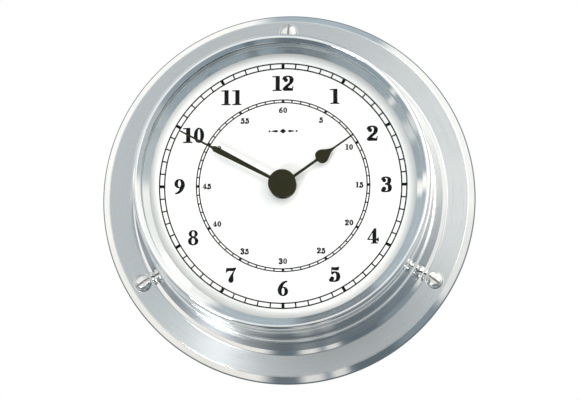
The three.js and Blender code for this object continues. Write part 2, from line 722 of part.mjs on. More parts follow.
function coilBobbin() {
  const flange = (side) => coilBar(3, 0.35).translate(side * (COIL_HALF + 0.55), 0, 0);
  return cut(join(coilBar(1.6, COIL_HALF + 0.6), flange(1), flange(-1)), coilBar(1.2, CORE_HALF));
}

add('stator', stator(), steel);
add('coil_core', coilBar(0.9, CORE_HALF, 12), steel);
add('coil_bobbin', coilBobbin(), blackPlastic);
const winding = cut(coilBar(2.7, COIL_HALF - 0.1), coilBar(1.9, COIL_HALF + 1));
add('coil_winding', winding, copper);

const BOARD_BACK = 15.4;
const BOARD_FRONT = 16.4;
const boardOutline = roundedRectangle([15.2, 26.2], [-10.4, 12], 0.8);
add('circuit_board', plate(boardOutline, BOARD_BACK, BOARD_FRONT, 2), boardGreen);
const chipShape = roundedRectangle([18, 23], [-6, -1], 0.5);
add('timing_chip', plate(chipShape, BOARD_FRONT + 0.2, BOARD_FRONT + 1.3, 2), blackPlastic);
const crystal = new THREE.CylinderGeometry(1.5, 1.5, 8, BORE_STEPS);
crystal.rotateX(Math.PI / 2).translate(20.5, -(BOARD_FRONT + 1.8), 6);
add('quartz_crystal', crystal, steel);

// ---------------------------------------------------------------- battery

function battery() {
  const reach = BATTERY_LENGTH / 2;
  const profile = [
    [0, -reach], [BATTERY_R - 0.4, -reach], [BATTERY_R, -reach + 0.4], [BATTERY_R, reach - 1.8],
    [BATTERY_R - 0.4, reach - 1.4], [2.7, reach - 1.4], [2.7, reach], [0, reach],
  ];
  const points = profile.map(([radius, along]) => new THREE.Vector2(radius, along));
  const geometry = new THREE.LatheGeometry(points, 24);
  return geometry.rotateZ(-Math.PI / 2).translate(0, -BATTERY_FORWARD, BATTERY_Z);
}

const CONTACT_GAP = 0.3;
const CONTACT_THICK = 0.5;
const CONTACT_HALF = 5;
const CONTACT_BACK = 11.5;
const CONTACT_FRONT = 23.5;

function batteryContact(side) {
  const near = side * (BATTERY_LENGTH / 2 + CONTACT_GAP);
  const far = near + side * CONTACT_THICK;
  const xRange = [Math.min(near, far), Math.max(near, far)];
  const zRange = [BATTERY_Z - CONTACT_HALF, BATTERY_Z + CONTACT_HALF];
  return block(xRange, zRange, CONTACT_BACK, CONTACT_FRONT);
}

add('battery', battery(), batteryWrap);
add('battery_contact_positive', batteryContact(1), steel);
add('battery_contact_negative', batteryContact(-1), steel);

// ---------------------------------------------------------------- rear cover

const COVER_BACK = 1.1;
const COVER_FRONT = LEDGE_BACK - GAP;
const WINDOW_HALF_WIDTH = 26.5; // the opening that the battery is changed through
const WINDOW_HALF_HEIGHT = 8.2;
const KNOB_OPENING_R = KNOB_R + 2.2;

function rearCover() {
  const disc = rod(RECESS_R - 0.5, COVER_BACK, COVER_FRONT, 0, 0, RING_STEPS);
  const zRange = [BATTERY_Z - WINDOW_HALF_HEIGHT, BATTERY_Z + WINDOW_HALF_HEIGHT];
  const batteryWindow = roundedRectangle([-WINDOW_HALF_WIDTH, WINDOW_HALF_WIDTH], zRange, 3);
  const batteryOpening = plate(batteryWindow, COVER_BACK - 1, COVER_FRONT + 1, 4);
  const { x: knobX, z: knobZ } = settingAxis;
  const knobOpening = rod(KNOB_OPENING_R, COVER_BACK - 1, COVER_FRONT + 1, knobX, knobZ, 32);
  const screwHoles = COVER_SCREW_ANGLES.map((angle) => {
    const { x, z } = onDial(COVER_SCREW_CIRCLE_R, angle);
    return rod(COVER_SCREW_HOLE_R, COVER_BACK - 1, COVER_FRONT + 1, x, z, 12);
  });
  return cut(disc, batteryOpening, knobOpening, ...screwHoles);
}

// Small slotted pan-head screw, its head sunk in the cover's recess.
function coverScrew() {
  const headFront = COVER_BACK - 0.2;
  const body = turned([
    [0, 0.1],
    [COVER_SCREW_HEAD_R - 0.4, 0.1],
    [COVER_SCREW_HEAD_R, 0.35],
    [COVER_SCREW_HEAD_R, headFront],
    [COVER_SCREW_SHANK_R, headFront],
    [COVER_SCREW_SHANK_R, LEDGE_FRONT + 0.4],
    [0, LEDGE_FRONT + 0.4],
  ], BORE_STEPS);
  return cut(body, block([-3, 3], [-0.25, 0.25], 0, 0.4));
}

add('rear_cover', rearCover(), blackPlastic);
COVER_SCREW_ANGLES.forEach((angle, i) => {
  const place = { ...onDial(COVER_SCREW_CIRCLE_R, angle), turn: radians(40 * i) };
  add(`cover_screw_${i + 1}`, coverScrew(), steel, place);
});

export default clock;
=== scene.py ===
"""Ship's deck clock: the visual model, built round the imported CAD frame.

Sizes in this script are millimetres, turned into metres where a mesh is made. The clock's axis
is Y and the dial faces -Y. "forward" is the distance in front of the flange's back face, so a
point is (x, -forward, z).
"""
import math

import bmesh
import bpy
from mathutils import Matrix, Vector
from mathutils.geometry import delaunay_2d_cdt


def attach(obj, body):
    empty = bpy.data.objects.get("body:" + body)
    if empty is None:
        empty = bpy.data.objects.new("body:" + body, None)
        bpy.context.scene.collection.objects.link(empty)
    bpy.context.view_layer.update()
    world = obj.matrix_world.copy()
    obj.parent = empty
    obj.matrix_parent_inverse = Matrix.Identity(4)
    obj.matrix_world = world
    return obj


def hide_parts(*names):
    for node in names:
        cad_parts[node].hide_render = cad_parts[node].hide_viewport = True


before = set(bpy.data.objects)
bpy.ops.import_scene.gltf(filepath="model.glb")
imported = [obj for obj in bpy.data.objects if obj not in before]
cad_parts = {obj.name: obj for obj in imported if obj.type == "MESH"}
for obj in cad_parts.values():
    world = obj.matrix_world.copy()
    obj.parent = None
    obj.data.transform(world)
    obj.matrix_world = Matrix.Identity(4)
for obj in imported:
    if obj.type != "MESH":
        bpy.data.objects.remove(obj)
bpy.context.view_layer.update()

MM = 0.001
ROUND = 240  # facets round a large turned piece
SMALL_ROUND = 64
HOLD_OVER = 0.9
HOLD_WITHIN = 0.1

# ------------------------------------------------------------------ sizes, in millimetres

FLANGE_R = 60
FLANGE_FACE = 3
SATIN_INNER_R = 50.9
SATIN_OUTER_R = 57.5
COLLAR_R = 47.9
DRUM_R = 47.3
BEZEL_R = 47
BEZEL_FRONT = 37.2
DIAL_FRONT = 28
SIGHT_R = 44.4
SCREW_CIRCLE_R = 54
SCREW_ANGLES = (0, 120, 240)
SLOT_TURNS = (4, 128, 54)
COVER_SCREW_CIRCLE_R = 42.9
COVER_SCREW_ANGLES = (60, 180, 300)
HOUR_ANGLE = 54.9
MINUTE_ANGLE = 298

CHAPTER_OUTER_R = 39.3
CHAPTER_INNER_R = 37.25
TRACK_OUTER_R = 27.6
TRACK_INNER_R = 26.35
HOUR_NUMERAL_R = 32.75
HOUR_NUMERAL_HEIGHT = 4.8
MINUTE_NUMERAL_R = 24.1
MINUTE_NUMERAL_HEIGHT = 1.75
ORNAMENT_R = 17.4
INK_THICK = 0.02


# ------------------------------------------------------------------ mesh helpers

def on_dial(radius, clock_degrees):
    """(x, z) at a clock-face angle, in degrees clockwise from twelve o'clock."""
    angle = math.radians(clock_degrees)
    return radius * math.sin(angle), radius * math.cos(angle)


def finish_mesh(name, bm, sharp_degrees=30):
    """A scene object from a bmesh in millimetres, shaded smooth except at sharp edges."""
    bmesh.ops.remove_doubles(bm, verts=bm.verts, dist=1e-4)
    bmesh.ops.recalc_face_normals(bm, faces=bm.faces)
    bmesh.ops.scale(bm, vec=(MM, MM, MM), verts=bm.verts)
    mesh = bpy.data.meshes.new(name)
    bm.to_mesh(mesh)
    bm.free()
    mesh.shade_smooth()
    mesh.set_sharp_from_angle(angle=math.radians(sharp_degrees))
    obj = bpy.data.objects.new(name, mesh)
    bpy.context.scene.collection.objects.link(obj)
    return obj


def rounded(corners, steps=5):
    """Profile points from corners (radius, forward, fillet), each corner rounded by its fillet."""
    points = []
    count = len(corners)
    for i, (r, f, fillet) in enumerate(corners):
        here = Vector((r, f))
        if not fillet:
            points.append((r, f))
            continue
        before = (Vector(corners[i - 1][:2]) - here).normalized()
        after = (Vector(corners[(i + 1) % count][:2]) - here).normalized()
        half = math.acos(max(-1, min(1, before.dot(after)))) / 2
        reach = fillet / math.tan(half)
        centre = here + (before + after).normalized() * (fillet / math.sin(half))
        start = here + before * reach - centre
        end = here + after * reach - centre
        sweep = start.angle_signed(end)
        for k in range(steps + 1):
            turn = -sweep * k / steps
            rotated = Matrix.Rotation(turn, 2) @ start
            points.append(tuple(centre + rotated))
    return points


def turned_bmesh(profile, steps=ROUND):
    """Revolves (radius, forward) points round the clock's axis. The profile closes on itself,
    or starts and ends on the axis."""
    bm = bmesh.new()
    rings = []
    for r, f in profile:
        if r < 1e-6:
            rings.append([bm.verts.new((0, -f, 0))] * steps)
            continue
        ring = []
        for i in range(steps):
            angle = 2 * math.pi * i / steps
            ring.append(bm.verts.new((r * math.sin(angle), -f, r * math.cos(angle))))
        rings.append(ring)
    on_axis = profile[0][0] < 1e-6
    pairs = zip(rings, rings[1:] if on_axis else rings[1:] + rings[:1])
    for low, high in pairs:
        for i in range(steps):
            j = (i + 1) % steps
            corners = []
            for vert in (low[i], low[j], high[j], high[i]):
                if vert not in corners:
                    corners.append(vert)
            if len(corners) > 2:
                bm.faces.new(corners)
    return bm


def held_flat(profile):
    """Adds a point close to each end of a long straight, so that shading stays flat along it."""
    held = []
    for i, (start, end) in enumerate(zip(profile, profile[1:] + profile[:1])):
        start, end = Vector(start), Vector(end)
        held.append(tuple(start))
        closes_on_axis = i == len(profile) - 1 and start.x < 1e-6
        if (end - start).length > HOLD_OVER and not closes_on_axis:
            step = (end - start).normalized() * HOLD_WITHIN
            held += [tuple(start + step), tuple(end - step)]
    return held


def turned(name, corners, steps=ROUND, fillet_steps=5):
    return finish_mesh(name, turned_bmesh(held_flat(rounded(corners, fillet_steps)), steps))


def extruded_bmesh(outline, back, front, bevel=0.0, bevel_steps=2):
    """A plate from an outline of (x, z) points, with its front and back edges rounded."""
    bm = bmesh.new()
    base = [bm.verts.new((x, -back, z)) for x, z in outline]
    face = bm.faces.new(base)
    grown = bmesh.ops.extrude_face_region(bm, geom=[face])["geom"]
    moved = [v for v in grown if isinstance(v, bmesh.types.BMVert)]
    bmesh.ops.translate(bm, vec=(0, back - front, 0), verts=moved)
    if bevel:
        rims = [e for e in bm.edges if abs(e.verts[0].co.y - e.verts[1].co.y) < 1e-6]
        bmesh.ops.bevel(bm, geom=rims, offset=bevel, segments=bevel_steps, affect="EDGES")
    return bm


def cylinder_bmesh(radius, back, front, x=0, z=0, steps=SMALL_ROUND):
    outline = []
    for i in range(steps):
        angle = 2 * math.pi * i / steps
        outline.append((x + radius * math.sin(angle), z + radius * math.cos(angle)))
    return extruded_bmesh(outline, back, front)


def block_bmesh(low, high):
    bm = bmesh.new()
    bmesh.ops.create_cube(bm, size=1)
    size = Vector(high) - Vector(low)
    middle = (Vector(high) + Vector(low)) / 2
    bmesh.ops.scale(bm, vec=size, verts=bm.verts)
    bmesh.ops.translate(bm, vec=middle, verts=bm.verts)
    return bm


def combine(obj, other, operation):
    """Boolean of obj with other, applied to obj's mesh; other is removed."""
    modifier = obj.modifiers.new("combine", "BOOLEAN")
    modifier.object = other
    modifier.operation = operation
    modifier.solver = "EXACT"
    bpy.context.view_layer.update()
    graph = bpy.context.evaluated_depsgraph_get()
    mesh = bpy.data.meshes.new_from_object(obj.evaluated_get(graph))
    obj.modifiers.clear()
    obj.data = mesh
    bpy.data.objects.remove(other)
    mesh.shade_smooth()
    mesh.set_sharp_from_angle(angle=math.radians(30))
    return obj


def cut(obj, *cutters):
    for i, bm in enumerate(cutters):
        combine(obj, finish_mesh(f"cutter_{i}", bm), "DIFFERENCE")
    return obj


def spin_about_own_axis(obj, x, z, degrees=0.0):
    """Turns a piece made on the clock's axis clockwise, then moves it to (x, z)."""
    turn = Matrix.Rotation(math.radians(degrees), 4, "Y")
    obj.data.transform(Matrix.Translation((x * MM, 0, z * MM)) @ turn)
    return obj


def stand_for(obj, body, slot, nodes, *materials):
    """Registers a piece: its body, its record slot (not used), the CAD nodes it replaces, its materials."""
    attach(obj, body)
    if nodes:
        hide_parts(*nodes)
    for material in materials:
        obj.data.materials.append(material)
    return obj


# ------------------------------------------------------------------ material helpers

def add_node(tree, kind, inputs=None, **settings):
    """A shader node. inputs maps a socket's name or index to a value or to another socket."""
    node = tree.nodes.new(kind)
    for key, value in settings.items():
        setattr(node, key, value)
    for key, value in (inputs or {}).items():
        if isinstance(value, bpy.types.NodeSocket):
            tree.links.new(value, node.inputs[key])
        else:
            node.inputs[key].default_value = value
    return node


def maths(tree, operation, a, b=0.0):
    return add_node(tree, "ShaderNodeMath", {0: a, 1: b}, operation=operation).outputs[0]


def blank_material(name):
    material = bpy.data.materials.new(name)
    material.use_nodes = True
    tree = material.node_tree
    return material, tree, tree.nodes["Principled BSDF"]


def set_inputs(node, tree, inputs):
    for key, value in inputs.items():
        if isinstance(value, bpy.types.NodeSocket):
            tree.links.new(value, node.inputs[key])
        else:
            node.inputs[key].default_value = value


def position(tree):
    """Local position in metres: every mesh is made in the clock's own frame."""
    return add_node(tree, "ShaderNodeTexCoord").outputs["Object"]


def polar(tree):
    """Radius from the clock's axis in millimetres, and the angle round it in radians."""
    split = add_node(tree, "ShaderNodeSeparateXYZ", {0: position(tree)}).outputs
    square = maths(tree, "ADD", maths(tree, "POWER", split["X"], 2), maths(tree, "POWER", split["Z"], 2))
    radius = maths(tree, "MULTIPLY", maths(tree, "SQRT", square), 1 / MM)
    return radius, maths(tree, "ARCTAN2", split["X"], split["Z"])


def noise(tree, vector, scale, detail=3.0, roughness=0.55):
    inputs = {"Vector": vector, "Scale": scale, "Detail": detail, "Roughness": roughness}
    return add_node(tree, "ShaderNodeTexNoise", inputs).outputs["Fac"]


def remap(tree, value, low, high, from_low=0.3, from_high=0.7):
    inputs = {"Value": value, "From Min": from_low, "From Max": from_high, "To Min": low, "To Max": high}
    return add_node(tree, "ShaderNodeMapRange", inputs).outputs["Result"]


def mix_colours(tree, factor, first, second):
    node = add_node(tree, "ShaderNodeMix", data_type="RGBA")
    set_inputs(node, tree, {"Factor": factor, "A": first, "B": second} if False else {})
    for socket, value in ((node.inputs[0], factor), (node.inputs[6], first), (node.inputs[7], second)):
        if isinstance(value, bpy.types.NodeSocket):
            tree.links.new(value, socket)
        else:
            socket.default_value = value
    return node.outputs[2]


def bump(tree, height, distance_mm, strength=1.0):
    inputs = {"Height": height, "Distance": distance_mm * MM, "Strength": strength}
    return add_node(tree, "ShaderNodeBump", inputs).outputs["Normal"]


def rgb(red, green, blue):
    return (red, green, blue, 1.0)


# ------------------------------------------------------------------ materials

def satin_chrome():
    """Chrome plate brushed round the axis: streaks run round it, and reflections spread across."""
    material, tree, shader = blank_material("satin_chrome")
    radius, angle = polar(tree)
    across = maths(tree, "MULTIPLY", radius, 9)
    along = maths(tree, "MULTIPLY", angle, 2.2)
    streak_at = add_node(tree, "ShaderNodeCombineXYZ", {0: across, 1: along}).outputs[0]
    streaks = noise(tree, streak_at, 1.0, 4.0, 0.65)
    clouds = noise(tree, position(tree), 60.0, 2.0)
    tone = mix_colours(tree, remap(tree, streaks, 0, 1), rgb(0.515, 0.545, 0.57), rgb(0.585, 0.615, 0.64))
    rough = maths(tree, "ADD", remap(tree, streaks, 0.25, 0.36), remap(tree, clouds, -0.02, 0.02))
    tangent = add_node(tree, "ShaderNodeTangent", direction_type="RADIAL", axis="Y").outputs[0]
    set_inputs(shader, tree, {
        "Base Color": tone, "Metallic": 1.0, "Roughness": rough, "Anisotropic": 0.75,
        "Anisotropic Rotation": 0.25, "Tangent": tangent, "Normal": bump(tree, streaks, 0.01, 0.25),
    })
    return material


def polished_chrome():
    """Mirror chrome with faint polishing lines and a trace of haze."""
    material, tree, shader = blank_material("polished_chrome")
    radius, angle = polar(tree)
    across = maths(tree, "MULTIPLY", radius, 30)
    along = maths(tree, "MULTIPLY", angle, 12)
    line_at = add_node(tree, "ShaderNodeCombineXYZ", {0: across, 1: along}).outputs[0]
    lines = noise(tree, line_at, 1.0, 3.0, 0.6)
    haze = noise(tree, position(tree), 90.0, 3.0)
    rough = maths(tree, "ADD", remap(tree, haze, 0.03, 0.075), remap(tree, lines, 0.0, 0.02))
    tone = mix_colours(tree, remap(tree, haze, 0, 1), rgb(0.80, 0.825, 0.84), rgb(0.87, 0.885, 0.89))
    set_inputs(shader, tree, {
        "Base Color": tone, "Metallic": 1.0, "Roughness": rough,
        "Normal": bump(tree, lines, 0.002, 0.2),
    })
    return material


def plain_metal(name, dark, light, roughness=(0.22, 0.38), grain=500.0):
    material, tree, shader = blank_material(name)
    coarse = noise(tree, position(tree), grain, 4.0)
    fine = noise(tree, position(tree), grain * 6, 2.0)
    set_inputs(shader, tree, {
        "Base Color": mix_colours(tree, remap(tree, coarse, 0, 1), dark, light),
        "Metallic": 1.0,
        "Roughness": remap(tree, coarse, *roughness),
        "Normal": bump(tree, fine, 0.004, 0.3),
    })
    return material


def moulding(name, dark, light, roughness=(0.42, 0.6), grain_mm=0.012, coat=0.0, specular=0.5):
    """Moulded plastic or rubber: a fine spark-eroded grain and slight colour drift."""
    material, tree, shader = blank_material(name)
    drift = noise(tree, position(tree), 120.0, 3.0)
    grain = noise(tree, position(tree), 4200.0, 2.0)
    set_inputs(shader, tree, {
        "Base Color": mix_colours(tree, remap(tree, drift, 0, 1), dark, light),
        "Roughness": remap(tree, drift, *roughness),
        "Normal": bump(tree, grain, grain_mm, 0.6),
        "Coat Weight": coat, "Specular IOR Level": specular,
    })
    return material


# Radii between which painted shade greys the dial towards its rim, standing in for the ring's shadow.
DIAL_PAINTED_SHADE_FROM = 39.8
DIAL_PAINTED_SHADE_TO = 42.6


def white_enamel():
    """Sprayed dial enamel: near white with a very slight orange peel, with painted shade that greys it towards its
    rim, where the ring's shadow falls.
    """
    material, tree, shader = blank_material("white_enamel")
    peel = noise(tree, position(tree), 900.0, 2.0)
    drift = noise(tree, position(tree), 30.0, 2.0)
    radius, _ = polar(tree)
    tone = mix_colours(tree, remap(tree, drift, 0, 1), rgb(0.90, 0.905, 0.905), rgb(0.93, 0.93, 0.925))
    # Painted shade: the dial's colour turns grey towards its rim, for the shadow of the ring.
    rim = remap(tree, radius, 0, 1, DIAL_PAINTED_SHADE_FROM, DIAL_PAINTED_SHADE_TO)
    set_inputs(shader, tree, {
        "Base Color": mix_colours(tree, rim, tone, rgb(0.52, 0.525, 0.53)),
        "Roughness": remap(tree, peel, 0.38, 0.48),
        "Normal": bump(tree, peel, 0.003, 0.25),
        "Specular IOR Level": 0.35,
    })
    return material


GLASS_SHINE = 0.07  # share of a plain pane's reflection that its anti-glare coating leaves


def clear_glass():
    """Thin clear glass: light passes straight through, and the surface reflects by Fresnel."""
    material, tree, shader = blank_material("clear_glass")
    output = tree.nodes["Material Output"]
    tree.nodes.remove(shader)
    smudge = noise(tree, position(tree), 25.0, 4.0)
    clear = add_node(tree, "ShaderNodeBsdfTransparent", {"Color": rgb(0.985, 0.99, 0.99)}).outputs[0]
    rough = remap(tree, smudge, 0.0, 0.03)
    shine = add_node(tree, "ShaderNodeBsdfGlossy", {"Color": rgb(1, 1, 1), "Roughness": rough}).outputs[0]
    fresnel = add_node(tree, "ShaderNodeFresnel", {"IOR": 1.45}).outputs[0]
    amount = maths(tree, "MULTIPLY", fresnel, GLASS_SHINE)
    surface = add_node(tree, "ShaderNodeMixShader", {0: amount, 1: clear, 2: shine}).outputs[0]
    tree.links.new(surface, output.inputs["Surface"])
    return material


SATIN = satin_chrome()
CHROME = polished_chrome()
DULL_CHROME = plain_metal("dull_chrome", rgb(0.40, 0.46, 0.5), rgb(0.48, 0.54, 0.58), (0.35, 0.5))
STEEL = plain_metal("plain_steel", rgb(0.42, 0.43, 0.44), rgb(0.62, 0.63, 0.64))
SCREW_STEEL = plain_metal("screw_steel", rgb(0.84, 0.83, 0.81), rgb(0.93, 0.92, 0.9), (0.16, 0.26))
# Painted shade for the screw slots: a dark steel on the slot's faces stands in for the shade inside them.
SLOT_PAINTED_SHADE_STEEL = plain_metal("slot_painted_shade", rgb(0.36, 0.365, 0.37), rgb(0.46, 0.465, 0.47), (0.4, 0.55))
BRASS = plain_metal("turned_brass", rgb(0.56, 0.40, 0.15), rgb(0.76, 0.58, 0.27))
# Painted shade: near-black brass for the bushing, nut and washer under the hands, standing in for the hub's shadow.
BRASS_PAINTED_SHADE = plain_metal("brass_painted_shade", rgb(0.035, 0.032, 0.028), rgb(0.08, 0.07, 0.055), (0.4, 0.55))
COPPER = plain_metal("enamelled_copper", rgb(0.36, 0.12, 0.05), rgb(0.6, 0.26, 0.12), (0.2, 0.35), 2500.0)
MAGNET = plain_metal("sintered_magnet", rgb(0.08, 0.08, 0.09), rgb(0.16, 0.16, 0.17), (0.45, 0.6), 1500.0)
ENAMEL = white_enamel()
HAND_BLACK = moulding("hand_enamel", rgb(0.017, 0.016, 0.006), rgb(0.022, 0.021, 0.009), (0.6, 0.75), 0.004, 0.0, 0.08)
INK = moulding("dial_ink", rgb(0.004, 0.004, 0.005), rgb(0.008, 0.008, 0.009), (0.4, 0.55), 0.002, 0.0, 0.05)
RUBBER = moulding("black_rubber", rgb(0.012, 0.012, 0.012), rgb(0.025, 0.025, 0.025), (0.7, 0.9), 0.02)
GREY_PLASTIC = moulding("case_plastic", rgb(0.045, 0.048, 0.052), rgb(0.065, 0.068, 0.072))
BLACK_PLASTIC = moulding("black_plastic", rgb(0.024, 0.024, 0.026), rgb(0.036, 0.036, 0.038))
WHITE_PLASTIC = moulding("acetal", rgb(0.72, 0.71, 0.65), rgb(0.84, 0.83, 0.78), (0.35, 0.5), 0.006)
BOARD = moulding("solder_mask", rgb(0.02, 0.12, 0.05), rgb(0.035, 0.18, 0.08), (0.2, 0.35), 0.006, 0.3)
BATTERY_WRAP = moulding("battery_wrap", rgb(0.03, 0.10, 0.24), rgb(0.05, 0.14, 0.3), (0.18, 0.3), 0.004, 0.5)
BATTERY_BAND = moulding("battery_band", rgb(0.55, 0.55, 0.53), rgb(0.62, 0.62, 0.6), (0.18, 0.3), 0.004, 0.5)
GLASS = clear_glass()


# ------------------------------------------------------------------ case

def mounting_flange():
    groove_depth = 0.16
    corners = [
        (45.4, 0, 0.2), (45.4, 2.9, 0.1), (40.5, 2.9, 0.2), (40.5, 4.6, 0.2), (45.4, 4.6, 0.1),
        (45.4, 8.7, 0.1), (46.6, 8.7, 0.1), (46.6, 11.9, 0.2), (COLLAR_R, 11.9, 0.5),
        (COLLAR_R, 7.3, 1.2), (49.55, 4.4, 0.7), (SATIN_INNER_R, FLANGE_FACE, 0.8), (SATIN_OUTER_R, FLANGE_FACE, 0.05),
        (SATIN_OUTER_R + 0.14, FLANGE_FACE - groove_depth, 0.03),
        (SATIN_OUTER_R + 0.25, FLANGE_FACE - 0.02, 0.1),
        (59.6, 1.2, 0.5), (FLANGE_R, 0.6, 0.2), (FLANGE_R, 0, 0.2),
    ]
    obj = turned("mounting_flange_shell", corners, fillet_steps=10)
    for angle in SCREW_ANGLES:
        x, z = on_dial(SCREW_CIRCLE_R, angle)
        cut(obj, cylinder_bmesh(2.05, -1, 4, x, z, 48), cylinder_bmesh(3, 2.3, 4, x, z, 64))
    for angle in COVER_SCREW_ANGLES:
        x, z = on_dial(COVER_SCREW_CIRCLE_R, angle)
        cut(obj, cylinder_bmesh(1.1, 2, 6, x, z, 32))
    stand_for(obj, "case", "brushed_chrome", ["mounting_flange"], SATIN, CHROME)
    for face in obj.data.polygons:
        radius = math.hypot(face.center.x, face.center.z) / MM
        forward = -face.center.y / MM
        satin = SATIN_INNER_R - 0.1 < radius < SATIN_OUTER_R and forward > FLANGE_FACE - 0.01
        face.material_index = 0 if satin or forward < 0.01 else 1
    return obj


def drum_body():
    corners = [
        (45.2, 9, 0.1), (46.4, 9, 0.1), (46.4, 12.05, 0.05), (DRUM_R, 12.05, 0.25),
        (DRUM_R, 29.9, 0.2), (45.8, 29.9, 0.05), (45.8, 32.6, 0.15), (45.2, 32.6, 0.1),
        (45.2, 26.9, 0.05), (43, 26.9, 0.15), (43, 25.3, 0.15), (45.2, 25.3, 0.05),
    ]
    obj = turned("drum_body_shell", corners)
    return stand_for(obj, "case", "polished_chrome", ["drum_body"], CHROME)


def bezel():
    corners = [
        (46.1, 30.1, 0.1), (BEZEL_R, 30.1, 0.25), (BEZEL_R, BEZEL_FRONT, 1.1),
        (45.65, BEZEL_FRONT, 0.25), (SIGHT_R, 36.3, 0.12), (SIGHT_R, 35.6, 0.1), (46.1, 35.6, 0.05),
    ]
    obj = turned("bezel_shell", corners, fillet_steps=10)
    return stand_for(obj, "case", "polished_chrome", ["bezel"], CHROME)


def glass():
    corners = [(0, 33.8, 0), (45.8, 33.8, 0.15), (45.8, 35.4, 0.15), (0, 35.4, 0)]
    obj = turned("glass_pane", corners)
    return stand_for(obj, "case", "glass", ["glass"], GLASS)


def glass_gasket():
    corners = [(45.2, 32.75, 0.2), (45.8, 32.75, 0.2), (45.8, 33.7, 0.2), (45.2, 33.7, 0.2)]
    obj = turned("glass_gasket_ring", corners)
    return stand_for(obj, "case", "black_rubber", ["glass_gasket"], RUBBER)


def dial_ring():
    corners = [
        (42, 28.05, 0.1), (44.4, 29.55, 0.2), (44.5, 33.4, 0.15), (44.9, 33.4, 0.1), (44.9, 28.1, 0.1),
    ]
    obj = turned("dial_ring_cone", corners)
    stand_for(obj, "case", "polished_chrome", ["dial_ring"], CHROME, DULL_CHROME)
    for face in obj.data.polygons:
        radius = math.hypot(face.center.x, face.center.z) / MM
        forward = -face.center.y / MM
        face.material_index = 1 if forward > 29.6 and radius < 44.7 else 0
    return obj


def dial():
    corners = [(3.5, 27.2, 0.05), (44.9, 27.2, 0.1), (44.9, DIAL_FRONT, 0.1), (3.5, DIAL_FRONT, 0.05)]
    obj = turned("dial_plate", corners)
    return stand_for(obj, "case", "white_enamel", ["dial"], ENAMEL)


# ------------------------------------------------------------------ dial print

def through(points, closed=False, steps=8):
    """A smooth Catmull-Rom curve through given points."""
    count = len(points)
    curve = []
    for i in range(count if closed else count - 1):
        if closed:
            p = [Vector(points[(i + k) % count]) for k in (-1, 0, 1, 2)]
        else:
            p = [Vector(points[min(max(i + k, 0), count - 1)]) for k in (-1, 0, 1, 2)]
        for s in range(steps):
            t = s / steps
            blend = (
                2 * p[1] + (p[2] - p[0]) * t
                + (2 * p[0] - 5 * p[1] + 4 * p[2] - p[3]) * t * t
                + (3 * p[1] - p[0] - 3 * p[2] + p[3]) * t ** 3
            )
            curve.append(blend / 2)
    if not closed:
        curve.append(Vector(points[-1]))
    return curve


def pen_half_width(direction, thick, thin):
    """A broad-nib pen: full thickness on upright strokes, a hairline on level ones."""
    return (thin + (thick - thin) * abs(direction.normalized().y) ** 1.6) / 2


def stroke(points, thick, thin):
    """Outline of a pen stroke along a smooth curve."""
    curve = through(points)
    left, right = [], []
    for i, point in enumerate(curve):
        along = curve[min(i + 1, len(curve) - 1)] - curve[max(i - 1, 0)]
        normal = Vector((-along.y, along.x)).normalized()
        half = pen_half_width(along, thick, thin)
        left.append(point + normal * half)
        right.append(point - normal * half)
    return left + right[::-1]


def ellipse(x, y, rx, ry, steps=40):
    return [
        Vector((x + rx * math.cos(2 * math.pi * i / steps), y + ry * math.sin(2 * math.pi * i / steps)))
        for i in range(steps)
    ]


def bowl(x, y, rx, ry, side, top):
    """A closed bowl as (ink outline, counter outline): thick at the sides, thin top and bottom."""
    return ellipse(x, y, rx, ry), ellipse(x, y, rx - side, ry - top)


def polygon(*points):
    return [Vector(p) for p in points]


